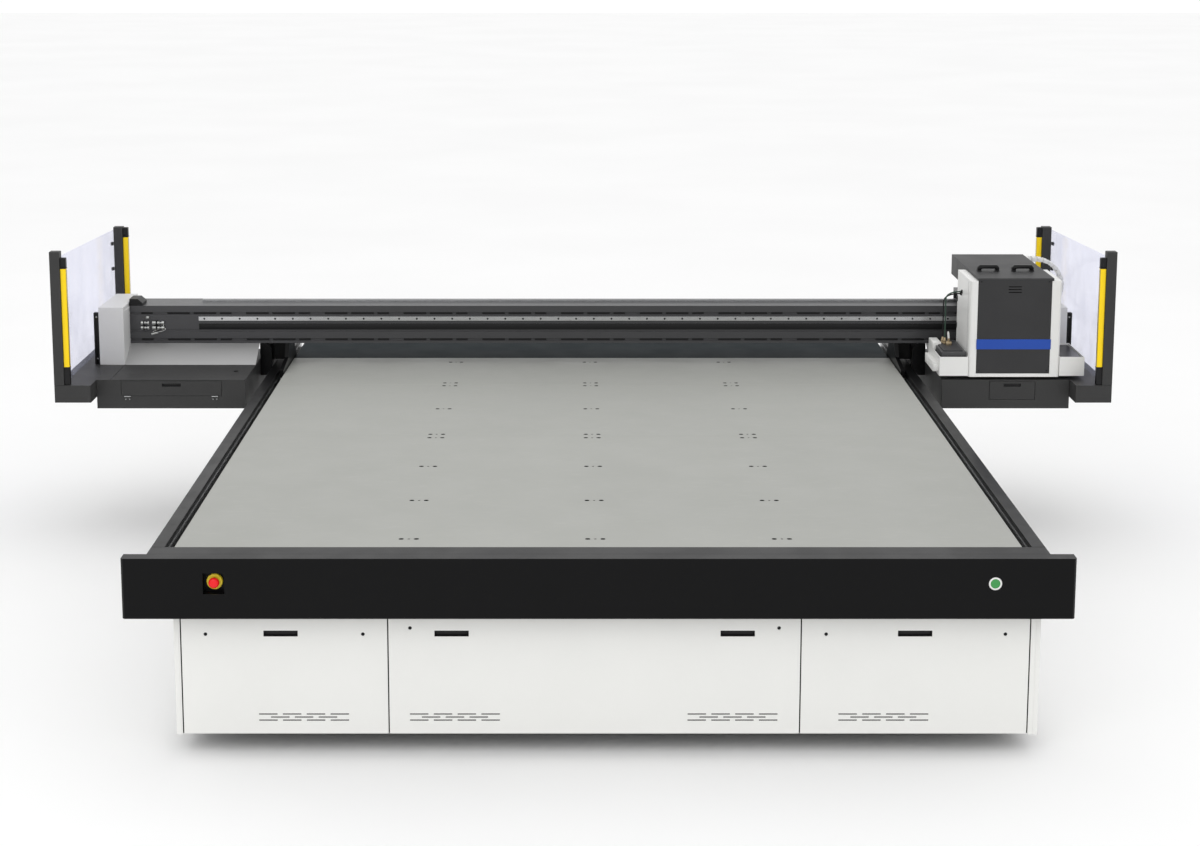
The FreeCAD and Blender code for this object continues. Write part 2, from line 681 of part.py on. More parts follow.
def make_beam():
    """The extruded cross beam with its slots, rails, magnet track and end caps."""
    beam = Made("gantry_beam", "-beam_half", bed_y("beam_front"), bed_z("beam_bottom"))
    outline = beam.sketch("YZ_Plane")
    slot = 8
    polygon(outline, [(0, 0), (0, 14), (slot, 14), (slot, 26), (0, 26),
                      (0, 62), (4, 62), (4, 74), (0, 74),
                      (0, 154), (slot, 154), (slot, 166), (0, 166),
                      (0, "beam_height"), ("beam_depth", "beam_height"), ("beam_depth", 0)])
    rectangle(outline, ("beam_wall", "beam_depth - beam_wall"), ("beam_wall", "beam_height - beam_wall"))
    beam.pad(outline, "2 * beam_half")
    front_z = (bed_z("beam_bottom + 122"), bed_z("beam_bottom + 144"))
    front_y = (bed_y("beam_front - 12"), bed_y("beam_front"))
    top_z = (bed_z("beam_bottom + beam_height"), bed_z("beam_bottom + beam_height + 14"))
    top_y = (bed_y("beam_front + 120"), bed_y("beam_front + 140"))
    rail_x = (-2018, "beam_half - 10")
    track_y = (bed_y("beam_front - 4"), bed_y("beam_front"))
    track_z = (bed_z("beam_bottom + 75"), bed_z("beam_bottom + 105"))
    node("beam_rails", group(block(rail_x, front_y, front_z), block(rail_x, top_y, top_z),
                             block(rail_x, track_y, track_z)))
    cap = Made("beam_end_caps", "-beam_half", bed_y("beam_front + 110"), top_z[0])
    outline = cap.sketch("XZ_Plane")
    top = 36
    polygon(outline, [(0, 0), (70, 0), (70, 14), (44, top), (0, top)])
    far = "2 * beam_half"
    polygon(outline, [(far, 0), (far, top), (far + " - 14", top), (far + " - 26", 14), (far + " - 26", 0)])
    cap.pad(outline, 110)


def make_legs():
    """Leg plates with curved edges beside the bed, on rail blocks, and the beam's brackets."""
    start = 3090
    foot = 520
    toe, shoulder = 40, 66
    neck_front, neck_back = 246, 466
    leg_half = 10
    leg_round = 30
    low = "channel_depth - block_top"
    block_y, block_length = (10, 390), 120
    block_half, block_low = 11, 52
    groove_half, groove_top = 7.3, 43.7
    coil_y, coil_z = (140, 380), (-54, -12)
    pieces = []
    legs = []
    for side in (-1, 1):
        rail = bed_x("%d * (bed_width / 2 + rail_inset)" % side)
        left = "%s - %d" % (rail, leg_half)
        leg = Made("leg", left, bed_y(start), bed_z("-channel_depth + " + low), False)
        legs.append(leg.body)
        outline = leg.sketch("YZ_Plane")
        rise = "beam_bottom + channel_depth - (%s)" % low
        polygon(outline, [(0, 0), (foot, 0), (foot, toe), (neck_back, shoulder), (neck_back, rise),
                          (neck_front, rise), (neck_front - 46, shoulder), (0, toe)])
        pad = leg.pad(outline, 2 * leg_half)
        leg.fillet(pad, leg_round, lambda one, two: along_x(one, two) and 150 < one.y < 480
                   and 20 < one.z < 100)
        for offset in block_y:
            near = start + offset
            far = near + block_length
            body = block(across(rail, block_half), (bed_y(near), bed_y(far)),
                         (bed_z(-block_low), bed_z("-block_top")))
            groove = block(across(rail, groove_half), (bed_y(near - 1), bed_y(far + 1)),
                           (bed_z(-block_low - 1), bed_z(-groove_top)))
            pieces.append(cut(body, groove))
        coil = across(bed_x("%d * (bed_width / 2 + rail_channel - 8)" % side), 3)
        pieces.append(block(coil, (bed_y(start + coil_y[0]), bed_y(start + coil_y[1])),
                            (bed_z(coil_z[0]), bed_z(coil_z[1]))))
    frame_half = "bed_width / 2 + rail_channel + frame_wall + knee_gap"
    knees = (("station_left_inner + 1", bed_x("-(%s)" % frame_half), 1),
             (bed_x(frame_half), "station_right_inner - 1", 0))
    for left, right, rounded in knees:
        knee = Made("knee", left, bed_y("beam_front + beam_depth - 6"), bed_z("-guard_drop"), False)
        legs.append(knee.body)
        outline = knee.sketch("XZ_Plane")
        width = "(%s) - (%s)" % (right, left)
        rectangle(outline, (0, width), (0, "beam_bottom + guard_drop"))
        pad = knee.pad(outline, "beam_depth - 6")
        doc.recompute()
        high = pad.Shape.BoundBox.ZMax - 1
        middle = pad.Shape.BoundBox.Center.x
        knee.fillet(pad, "knee_round", lambda one, two: abs(one.x - two.x) < 0.01
                    and min(one.z, two.z) > high and (one.x > middle) == bool(rounded))
    leg_face = "bed_width / 2 + rail_inset + %d" % leg_half
    knee_face = "%s + 1" % frame_half
    bridge_y = (bed_y("beam_front + bridge_inset"), bed_y("beam_front + beam_depth - 6"))
    bridge_z = (bed_z("bridge_low"), bed_z("beam_bottom"))
    for bridge_x in ((bed_x("-(%s)" % knee_face), bed_x("-(%s)" % leg_face)),
                     (bed_x(leg_face), bed_x(knee_face))):
        legs.append(block(bridge_x, bridge_y, bridge_z))
    node("gantry_legs", group(*legs))
    node("rail_blocks", group(*pieces))


def station_box(left, right):
    """The hollow box of a station."""
    return shell((left, right), (bed_y("station_front"), bed_y("station_back")),
                 (bed_z("-station_drop"), bed_z("station_top")), "station_wall", "closed")


def make_stations():
    """The service boxes at the beam's ends, with a door, a drawer and a capping unit."""
    face = bed_y("station_front")
    through = (face + " - 1", face + " + 20")
    play = 1.5
    grip_z = (bed_z("-grip_half"), bed_z("grip_half"))
    door_x, door_z = (-2329, -1822), (-56, 23)
    door_grip = (-2122, -2027)
    hatch = block(door_x, through, (bed_z(door_z[0]), bed_z(door_z[1])))
    node("station_left", cut(station_box("-station_outer", "station_left_inner"), hatch))
    drawer_x, drawer_z = (2048, 2279), (-74, 21)
    drawer_grip = (2120, 2207)
    mouth = block(drawer_x, through, (bed_z(drawer_z[0]), bed_z(drawer_z[1])))
    node("station_right", cut(station_box("station_right_inner", "station_outer"), mouth))
    door = block((door_x[0] + play, door_x[1] - play), (face, bed_y("station_front + 12")),
                 (bed_z(door_z[0] + play), bed_z(door_z[1] - play)))
    grip = block(door_grip, (face + " - 1", face + " + 8"), grip_z)
    node("station_door", cut(door, grip))
    drawer = shell((drawer_x[0] + play, drawer_x[1] - play), (face, bed_y("station_front + 300")),
                   (bed_z(drawer_z[0] + play), bed_z(drawer_z[1] - play)), 8, "top")
    slot = block(drawer_grip, (face + " - 1", face + " + 6"), grip_z)
    node("waste_drawer", cut(drawer, slot))
    make_door_hinges()
    make_capping_unit()


def make_door_hinges():
    """Two hinge plates under the left station's door, each with its pin."""
    leaf_half = 16
    pin_radius = 2.5
    pin_z = -57.5
    hinges = []
    for middle in (-2297, -1857):
        plate = block(across(middle, leaf_half), (bed_y("station_front - 2"), bed_y("station_front")),
                      (bed_z(-78), bed_z(-60)))
        pin = rod("x", middle - leaf_half, bed_y("station_front - 3"), bed_z(pin_z), pin_radius, 2 * leaf_half)
        hinges.append(fuse(plate, pin))
    node("door_hinges", group(*hinges))


def make_capping_unit():
    """A plate with eight caps, one under each print head, on the right station."""
    plate_x, plate_y = (1990, 2350), (2880, 3150)
    cap_width, cap_length = 66, 118
    column_pitch, row_pitch = 88, 130
    first_x, first_y = 2005, 2890
    caps = [block(plate_x, (bed_y(plate_y[0]), bed_y(plate_y[1])),
                  (bed_z("station_top"), bed_z("station_top + 6")))]
    for column in range(4):
        for row in range(2):
            left = first_x + column * column_pitch
            near = first_y + row * row_pitch
            caps.append(block((left, left + cap_width), (bed_y(near), bed_y(near + cap_length)),
                              (bed_z("station_top + 5.9"), bed_z("station_top + 10"))))
    node("capping_unit", fuse(*caps))


def make_splash_plates():
    """Sloped plates from the stations' tops up to the beam."""
    plates = []
    for left, length in (("-beam_half", "beam_half + station_left_inner"),
                         ("station_right_inner", "beam_half - station_right_inner")):
        plate = Made("splash", left, bed_y("column_front"), bed_z("station_top"), False)
        plates.append(plate.body)
        outline = plate.sketch("YZ_Plane")
        run = "beam_front - column_front + 4"
        rise = "beam_bottom - station_top"
        polygon(outline, [(0, 0), (5, 0), (run, rise), (run + " - 5", rise)])
        plate.pad(outline, length)
    node("splash_plates", group(*plates))


def make_columns():
    """Light grey column covers with a bevelled top, over the beam's ends."""
    foot = bed_z("station_top")
    shoulder = bed_z("column_top - column_bevel")
    y = (bed_y("column_front"), bed_y("station_back"))
    x = ("-beam_half - column_width", "-beam_half")
    roof = doc.addObject("Part::Wedge", "Roof")
    place(roof, x[0], y[0], shoulder)
    depth = "station_back - column_front"
    for prop, formula in (("Xmin", 0), ("Ymin", 0), ("Zmin", 0), ("X2min", 8), ("Z2min", 0),
                          ("Xmax", "column_width"), ("Ymax", depth), ("Zmax", "column_bevel"),
                          ("X2max", "column_width - 8"), ("Z2max", "column_bevel")):
        roof.setExpression(prop, bind(formula))
    hollow = block(("%s + 3" % x[0], "%s - 3" % x[1]), ("%s + 3" % y[0], "%s - 3" % y[1]),
                   ("%s - 1" % foot, "%s - 3" % shoulder))
    left = cut(fuse(block(x, y, (foot, shoulder)), roof), hollow)
    node("column_covers", group(left, mirrored(left)))


def make_guards():
    """Guard bases, posts, light curtains and tinted windows at both ends."""
    outer = "-gantry_half"
    inner = "-station_outer"
    top = bed_z("station_top")
    base = block((outer, inner), (bed_y("guard_front"), bed_y("guard_back")), (bed_z("-guard_drop"), top))
    node("guard_bases", group(base, mirrored(base)))
    front_y = (bed_y("guard_front"), bed_y("guard_front + post_side"))
    rear_y = (bed_y("guard_back - post_side"), bed_y("guard_back"))
    front_x = (outer, outer + " + post_side")
    rear_x = (outer + " + 46", outer + " + 46 + post_side")
    front_post = block(front_x, front_y, (top, bed_z("post_top")))
    rear_post = block(rear_x, rear_y, (top, bed_z("rear_post_top")))
    node("guard_posts", group(front_post, rear_post, mirrored(front_post), mirrored(rear_post)))
    bars = []
    caps = []
    for post_x, post_y, low, high in ((front_x, front_y, 112, 622), (rear_x, rear_y, 112, 590)):
        bar_x = (post_x[1], post_x[1] + " + 28")
        bar_y = (post_y[0] + " + 8", post_y[0] + " + 38")
        bars.append(block(bar_x, bar_y, (bed_z(low), bed_z(high))))
        caps.append(block(bar_x, bar_y, (bed_z(high), bed_z(high + 46))))
        caps.append(block(bar_x, bar_y, (top, bed_z(low))))
    node("light_curtains", group(*(bars + [mirrored(bar) for bar in bars])))
    node("curtain_caps", group(*(caps + [mirrored(cap) for cap in caps])))
    window = Made("window", outer + " + 34", front_y[1], top, False)
    outline = window.sketch("YZ_Plane")
    length = "guard_back - guard_front - post_side - 8"
    polygon(outline, [(0, 0), (length, 0), (length, "rear_post_top - station_top - 20"),
                      (0, "post_top - station_top - 30")])
    window.pad(outline, "window_sheet")
    node("guard_windows", group(window.body, mirrored(window.body)))


def make_cable_tray():
    """The tray behind the beam with the lower run of the energy chain."""
    tray_start, run_start = -2000, -200
    tray_y, tray_top = (3602, 3676), 226
    chain_y = (3607, 3671)
    bracket_half, bracket_height = 30, 4
    floor = bed_z("tray_floor")
    tray = shell((tray_start, "tray_end"), (bed_y(tray_y[0]), bed_y(tray_y[1])), (floor, bed_z(tray_top)),
                 3, "top")
    pieces = [tray]
    for middle in (-1500, -500, 500, 1500):
        pieces.append(block(across(middle, bracket_half),
                            (bed_y("beam_front + beam_depth"), bed_y(tray_y[0])),
                            (floor, bed_z("tray_floor + %d" % bracket_height))))
    node("cable_tray", fuse(*pieces))
    run = block((run_start, "loop_center"), (bed_y(chain_y[0]), bed_y(chain_y[1])),
                (bed_z("tray_floor + 3"), bed_z("tray_floor + 27")))
    node("energy_chain_run", run)


# ---------------------------------------------------------------- carriage

def make_saddle():
    """The saddle over the beam, its runner blocks, the lift drive and the moving chain loop."""
    x, arm_x = (1990, 2346), (2150, 2250)
    plate_y, rear_y = (bed_y(3280), bed_y(3300)), (bed_y(3578), bed_y(3590))
    top, arm_low, arm_top = 352, 380, 430
    front = block(x, plate_y, (bed_z(150), bed_z(top)))
    roof = block(x, (plate_y[0], rear_y[1]), (bed_z(top), bed_z(top + 15)))
    rear = block(x, rear_y, (bed_z(236), bed_z(top)))
    hook = block(arm_x, (rear_y[1], bed_y(3606)), (bed_z(arm_low), bed_z(arm_top)))
    web = block(arm_x, rear_y, (bed_z(top + 8), bed_z(arm_top)))
    arm = block(arm_x, (bed_y(3601), bed_y(3606)), (bed_z(arm_low), bed_z(530)))
    node("carriage_saddle", fuse(front, roof, rear, web, hook, arm))
    make_runner_blocks(plate_y[1], top)
    make_lift_drive(plate_y[0], top + 15)
    loop = Made("energy_chain_loop", "loop_center", bed_y(3671), bed_z("tray_floor + 27.6 + 154"))
    make_chain_loop(loop)


def make_runner_blocks(front, top):
    """Runner blocks on the beam's front and top rails, and the motor coil between them."""
    length = 110
    play = 0.3
    rail_z = bed_z("beam_bottom + 133")
    low = "beam_bottom + beam_height"
    blocks = []
    for left in (2010, 2216):
        x = (left, left + length)
        past = (left - 1, left + length + 1)
        body = block(x, (front, bed_y("beam_front - 2")), across(rail_z, 26))
        groove = block(past, (bed_y("beam_front - 12 - %s" % play), bed_y("beam_front")),
                       across(rail_z, 11 + play))
        blocks.append(cut(body, groove))
        body = block(x, (bed_y("beam_front + 105"), bed_y("beam_front + 155")),
                     (bed_z(low + " + 3"), bed_z(top)))
        groove = block(past, (bed_y("beam_front + 120 - %s" % play), bed_y("beam_front + 140 + %s" % play)),
                       (bed_z(low), bed_z("%s + 14 + %s" % (low, play))))
        blocks.append(cut(body, groove))
    coil_x, coil_z = (2060, 2276), (194, 216)
    blocks.append(block(coil_x, (front, bed_y("beam_front - 5")), (bed_z(coil_z[0]), bed_z(coil_z[1]))))
    node("carriage_blocks", group(*blocks))


def make_lift_drive(face, foot):
    """The head's slides, its lifting screw and the motor on the saddle."""
    depth = 12
    slide_width = 20
    middle = 2168
    slides = []
    for left in (2040, 2276):
        slides.append(block((left, left + slide_width), ("%s - %d" % (face, depth), face),
                            (bed_z(160), bed_z(350))))
    motor_radius, motor_length = 35, 110
    motor = rod("z", middle, bed_y(3400), bed_z(foot), motor_radius, motor_length)
    screw_radius, screw_length = 8, 200
    screw = rod("z", middle, bed_y(3266), bed_z(180), screw_radius, screw_length)
    node("lift_drive", group(motor, screw, *slides))


def make_chain_loop(loop):
    """A half turn of chain with its upper run back to the carriage."""
    sketch = loop.sketch("XZ_Plane")
    inner = 130
    outer = 154
    up = Vector(0, 0, 1)
    arcs = []
    for radius in (outer, inner):
        turn = Part.Circle(Vector(0, 0, 0), up, radius)
        arcs.append(sketch.addGeometry(Part.ArcOfCircle(turn, -math.pi / 2, math.pi / 2), False))
    reach = -190
    lines = [((0, -outer), (0, -inner)), ((0, outer), (reach, outer)),
             ((reach, outer), (reach, inner)), ((reach, inner), (0, inner))]
    for one, two in lines:
        sketch.addGeometry(Part.LineSegment(Vector(*one, 0), Vector(*two, 0)), False)
    loop.pad(sketch, 64)


def hose(depth, height, turn):
    """A hose from the housing's left side, round a quarter turn and down to the left lamp's top."""
    y = bed_y(depth)
    bend = doc.addObject("Part::Torus", "Bend")
    bend.Placement = Placement(Vector(), Rotation(Vector(0, 1, 1), 180))
    place(bend, turn, y, bed_z("%d - hose_bend" % height))
    bend.setExpression("Radius1", bind("hose_bend"))
    bend.setExpression("Radius2", bind("hose_size / 2"))
    bend.Angle3 = 90
    lamp_top = "skirt_top + 20"
    across_run = rod("x", turn, y, bed_z(height), "hose_size / 2", "head_left - %d" % turn)
    down_run = rod("z", "%d - hose_bend" % turn, y, bed_z(lamp_top), "hose_size / 2",
                   "%d - hose_bend - (%s)" % (height, lamp_top))
    return fuse(across_run, bend, down_run)


def make_head():
    """The print head carriage: housing, covers, skirts, heads, tanks and lamps."""
    front = bed_y("station_front")
    back = bed_y("station_front + head_depth")
    housing = Made("carriage_housing", "head_left", front, bed_z("head_bottom"))
    outline = housing.sketch("XY_Plane")
    rectangle(outline, (0, "head_width"), (0, "head_depth"))
    pad = housing.pad(outline, "head_top - head_bottom")
    housing.fillet(pad, 14, lambda one, two: upright(one, two) and one.y < 1)
    hollow = housing.sketch("XY_Plane", "head_top - head_bottom - head_wall")
    rectangle(hollow, ("head_wall", "head_width - head_wall"), ("head_wall", "head_depth - head_wall"))
    housing.pocket(hollow, "head_top - head_bottom")
    hatch = housing.sketch("XY_Plane", "head_top - head_bottom")
    rectangle(hatch, ("head_column + 12", "head_width - head_column - 12"), (20, "head_depth - 20"))
    housing.pocket(hatch, "head_wall + 1")
    mouth = housing.sketch("XZ_Plane")
    opening = ("head_column", "head_width - head_column - 11")
    rectangle(mouth, opening, (17, "head_top - head_bottom + 1"))
    housing.pocket(mouth, "head_wall + 3")
    cover = Made("carriage_front_cover", "head_left + head_column + 1", front + " + 6",
                 bed_z("head_bottom + 18"))
    outline = cover.sketch("XZ_Plane")
    width = "head_width - 2 * head_column - 13"
    height = "head_top - head_bottom - 20 + lid_rise"
    rectangle(outline, (0, width), (0, height))
    pad = cover.pad(outline, 8)
    cover.chamfer(pad, 1.5, lambda one, two: one.y < -1 and two.y < -1)
    vents = cover.sketch("XZ_Plane", 8)
    for row in range(3):
        low = "%s - 42 - %d" % (height, row * 14)
        rectangle(vents, across("(%s) / 2" % width, 33), (low, low + " + 4"))
    cover.pocket(vents, 5)
    stripe_x = ("head_left + head_column - 2", "head_left + head_column + 4 + (%s)" % width)
    stripe_y = (front + " - 3.5", front + " - 2")
    node("cover_stripe", block(stripe_x, stripe_y, (bed_z("stripe_low"), bed_z("stripe_high"))))
    skirt_z = (bed_z("head_bottom + 4"), bed_z("skirt_top"))
    skirt_y = (front, back + " - 4")
    skirts = [shell(("skirt_left", "head_left"), skirt_y, skirt_z, 4, "top"),
              shell(("head_left + head_width", "skirt_right"), skirt_y, skirt_z, 4, "top")]
    node("carriage_skirts", group(*skirts))
    lamp_y = (front + " + 20", back + " - 20")
    lamp_base = bed_z("head_bottom + 8")
    lamps = [block(("skirt_left + 12", "head_left - 8"), lamp_y, (lamp_base, bed_z("skirt_top + 20"))),
             block(("head_left + head_width + 8", "skirt_right - 12"), lamp_y,
                   (lamp_base, bed_z("skirt_top - 6")))]
    node("uv_lamps", group(*lamps))
    node("lamp_hoses", group(hose(3040, 440, 1915), hose(3062, 426, 1908)))
    inside_x = ("head_left + 4", "head_left + head_width - 4")
    inside_y = (front + " + 8", back + " - 4")
    plate = block(inside_x, inside_y, (bed_z("head_bottom + 6"), bed_z("head_bottom + 16")))
    heads = []
    tanks = []
    windows = []
    for column in range(4):
        for row in range(2):
            x = ("head_left + %d" % (67 + 88 * column), "head_left + %d" % (117 + 88 * column))
            y = (front + " + %d" % (84 + 130 * row), front + " + %d" % (184 + 130 * row))
            heads.append(block(x, y, (bed_z("head_bottom + 1"), bed_z("head_bottom + 90"))))
            windows.append(block((x[0] + " - 0.5", x[1] + " + 0.5"), (y[0] + " - 0.5", y[1] + " + 0.5"),
                                 (bed_z("head_bottom + 5"), bed_z("head_bottom + 17"))))
            tanks.append(rod("z", x[0] + " + 25", y[0] + " + 50", bed_z("head_bottom + 90"), 24, 150))
    node("head_plate", cut(plate, *windows))
    node("print_heads", group(*heads))
    node("ink_tanks", group(*tanks))
    carriers = []
    for left in (2030, 2266):
        body = block((left, left + 40), (back, bed_y(3278)), (bed_z(210), bed_z(300)))
        groove = block((left + 9.7, left + 30.3), (bed_y(3267.7), bed_y(3279)), (bed_z(209), bed_z(301)))
        carriers.append(cut(body, groove))
    nut = cut(block((2148, 2188), (back, bed_y(3278)), (bed_z(210), bed_z(250))),
              rod("z", 2168, bed_y(3266), bed_z(209), 8.1, 42))
    node("lift_carriers", group(nut, *carriers))


def make_top_cover():
    """The lift-off cover of the carriage, with its rear hood over the saddle, and two handles."""
    x = ("head_left + head_column", "head_left + head_width - head_column")
    lid_z = (bed_z("head_top + 0.4"), bed_z("head_top + lid_rise"))
    middle = bed_y("station_front + head_depth")
    lid = block(x, (bed_y("station_front + 7"), middle), lid_z)
    hood = shell(x, (middle, bed_y(3599)), (bed_z("head_top - 91"), lid_z[1]), 3, "bottom")
    pocket = block(("%s + 3" % x[0], "%s - 3" % x[1]), (middle + " - 1", middle + " + 4"),
                   (bed_z("head_top - 92"), bed_z("head_top - 3")))
    node("carriage_top_cover", cut(fuse(lid, hood), pocket))
    handles = []
    y = (bed_y(3034), bed_y(3070))
    bar_z = (lid_z[1] + " + 18", lid_z[1] + " + 32")
    for left in (2012, 2188):
        bar = block((left, left + 112), y, bar_z)
        feet = [block((start, start + 16), y, (lid_z[1], bar_z[0] + " + 1")) for start in (left, left + 96)]
        handles.append(fuse(bar, *feet))
    node("cover_handles", group(*handles))


# ---------------------------------------------------------------- build, check and write

def check_document():
    """Stop if anything failed or any sub-part has no valid shape."""
    for thing in doc.Objects:
        if "Invalid" in thing.State or "Error" in thing.State:
            raise RuntimeError("%s (%s) is %s" % (thing.Label, thing.TypeId, thing.State))
    for thing in nodes:
        if thing.Shape.isNull() or not thing.Shape.isValid() or not thing.Shape.Solids:
            raise RuntimeError("%s has no valid solid" % thing.Label)


def write_parts():
    """Write each sub-part to its own file."""
    os.makedirs("parts", exist_ok=True)
    whole = FreeCAD.BoundBox()
    for thing in nodes:
        thing.Shape.exportStep("parts/%s.step" % thing.Label)
        whole.add(thing.Shape.BoundBox)
    print("nodes", len(nodes))
    print("box", [round(value, 2) for value in (whole.XMin, whole.XMax, whole.YMin, whole.YMax,
                                                 whole.ZMin, whole.ZMax)])


fill_sheet()
make_base_frame()
make_feet()
make_cabinet()
make_inside()
make_bed()
make_pins()
make_side_frames()
make_apron()
make_controls()
make_beam()
make_legs()
make_stations()
make_splash_plates()
make_columns()
make_guards()
make_cable_tray()
make_saddle()
make_head()
make_top_cover()
doc.recompute()
check_document()
write_parts()
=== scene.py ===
"""Looks of the flatbed UV printer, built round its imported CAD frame.

Metres, +Z up.  The apron faces -Y, and the gantry is centred on X = 0.
"""
import bmesh
import bpy
import json
import math
from mathutils import Matrix, Vector


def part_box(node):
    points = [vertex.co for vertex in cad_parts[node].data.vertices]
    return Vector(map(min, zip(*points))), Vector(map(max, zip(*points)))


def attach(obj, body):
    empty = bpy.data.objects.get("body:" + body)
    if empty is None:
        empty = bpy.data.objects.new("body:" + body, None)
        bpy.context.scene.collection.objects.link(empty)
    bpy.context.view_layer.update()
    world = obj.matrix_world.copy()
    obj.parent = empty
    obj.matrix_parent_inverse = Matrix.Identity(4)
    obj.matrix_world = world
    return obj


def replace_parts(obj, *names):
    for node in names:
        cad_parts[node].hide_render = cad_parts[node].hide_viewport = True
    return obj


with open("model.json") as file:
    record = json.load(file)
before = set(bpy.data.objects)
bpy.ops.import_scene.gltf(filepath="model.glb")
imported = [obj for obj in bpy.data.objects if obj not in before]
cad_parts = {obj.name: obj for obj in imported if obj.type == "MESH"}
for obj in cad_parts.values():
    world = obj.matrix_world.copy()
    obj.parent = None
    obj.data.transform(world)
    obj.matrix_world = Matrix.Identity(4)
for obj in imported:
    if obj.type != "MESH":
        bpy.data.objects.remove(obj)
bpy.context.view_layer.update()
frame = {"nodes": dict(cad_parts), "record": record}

MM = 0.001
BED_LOW, BED_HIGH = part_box("bed_plate_front")
BED_X = (BED_LOW.x + BED_HIGH.x) / 2
BED_Y = BED_LOW.y
BED_Z = BED_HIGH.z


def at(x, y, z):
    """A point from the gantry's middle, the bed's front edge and the bed's top, in millimetres."""
    return Vector((x * MM, BED_Y + y * MM, BED_Z + z * MM))


def srgb(red, green, blue):
    """A colour from three display values, 0 to 255, as the shader wants it."""
    def linear(value):
        part = value / 255
        return part / 12.92 if part < 0.04045 else ((part + 0.055) / 1.055) ** 2.4
    return (linear(red), linear(green), linear(blue), 1)


def shade(color, factor):
    """A colour made darker or lighter."""
    return tuple(min(1, part * factor) for part in color[:3]) + (1,)


# ---------------------------------------------------------------- materials

class Look:
    """A node material under construction, in the object's own coordinates."""

    def __init__(self, name, rough=0.5, metal=0.0, specular=0.5):
        self.material = bpy.data.materials.new(name)
        self.material.use_nodes = True
        self.nodes = self.material.node_tree.nodes
        self.links = self.material.node_tree.links
        self.shader = self.nodes["Principled BSDF"]
        self.shader.inputs["Roughness"].default_value = rough
        self.shader.inputs["Metallic"].default_value = metal
        self.shader.inputs["Specular IOR Level"].default_value = specular
        self.place = self.nodes.new("ShaderNodeTexCoord").outputs["Object"]
        self.normal = None

    def noise(self, scale, detail=3, stretch=(1, 1, 1)):
        """Noise from 0 to 1, stretched along the axes."""
        mapping = self.nodes.new("ShaderNodeMapping")
        mapping.inputs["Scale"].default_value = stretch
        self.links.new(self.place, mapping.inputs["Vector"])
        noise = self.nodes.new("ShaderNodeTexNoise")
        noise.inputs["Scale"].default_value = scale
        noise.inputs["Detail"].default_value = detail
        self.links.new(mapping.outputs["Vector"], noise.inputs["Vector"])
        return noise.outputs["Fac"]

    def remap(self, value, low, high, start=0.35, stop=0.65):
        """A value from start to stop spread over low to high."""
        node = self.nodes.new("ShaderNodeMapRange")
        node.inputs["From Min"].default_value = start
        node.inputs["From Max"].default_value = stop
        node.inputs["To Min"].default_value = low
        node.inputs["To Max"].default_value = high
        self.links.new(value, node.inputs["Value"])
        return node.outputs["Result"]

    def mix(self, factor, one, two):
        """A colour between two colours or colour outputs."""
        node = self.nodes.new("ShaderNodeMix")
        node.data_type = "RGBA"
        self.links.new(factor, node.inputs["Factor"])
        for socket, color in ((node.inputs[6], one), (node.inputs[7], two)):
            if isinstance(color, tuple):
                socket.default_value = color
            else:
                self.links.new(color, socket)
        return node.outputs[2]

    def color(self, output):
        self.links.new(output, self.shader.inputs["Base Color"])

    def rough(self, output):
        self.links.new(output, self.shader.inputs["Roughness"])

    def bump(self, height, strength, distance):
        """Adds a bump on top of the ones already there."""
        node = self.nodes.new("ShaderNodeBump")
        node.inputs["Strength"].default_value = strength
        node.inputs["Distance"].default_value = distance
        self.links.new(height, node.inputs["Height"])
        if self.normal is not None:
            self.links.new(self.normal, node.inputs["Normal"])
        self.normal = node.outputs["Normal"]
        self.links.new(self.normal, self.shader.inputs["Normal"])

    def worn(self, base, light, size=0.0015):
        """A colour that turns lighter along edges, in broken patches."""
        bevel = self.nodes.new("ShaderNodeBevel")
        bevel.samples = 4
        bevel.inputs["Radius"].default_value = size
        geometry = self.nodes.new("ShaderNodeNewGeometry")
        dot = self.nodes.new("ShaderNodeVectorMath")
        dot.operation = "DOT_PRODUCT"
        self.links.new(bevel.outputs["Normal"], dot.inputs[0])
        self.links.new(geometry.outputs["Normal"], dot.inputs[1])
        edge = self.remap(dot.outputs["Value"], 1, 0, 0.9, 0.995)
        patches = self.remap(self.noise(60, 4), 0.1, 1, 0.4, 0.7)
        both = self.nodes.new("ShaderNodeMath")
        both.operation = "MULTIPLY"
        self.links.new(edge, both.inputs[0])
        self.links.new(patches, both.inputs[1])
        return self.mix(both.outputs["Value"], base, light)


def paint(name, color, rough=0.45, specular=0.4, texture=900, depth=0.00004, wear=None, spread=0.05):
    """Sprayed or powder-coated paint: faint clouds, orange peel, fine grain and worn edges."""
    look = Look(name, rough, 0, specular)
    clouds = look.remap(look.noise(2.2, 4), 0, 1)
    body = look.mix(clouds, shade(color, 1 - spread), shade(color, 1 + spread))
    dust = look.remap(look.noise(45, 5), 0, 0.3, 0.5, 0.8)
    body = look.mix(dust, body, shade(color, 1 + 2 * spread))
    if wear:
        body = look.worn(body, wear)
    look.color(body)
    look.rough(look.remap(look.noise(7, 3), rough - 0.025, rough + 0.03))
    look.bump(look.noise(texture, 2), 0.25, depth)
    look.bump(look.noise(texture / 6, 2), 0.06, depth * 2)
    return look.material


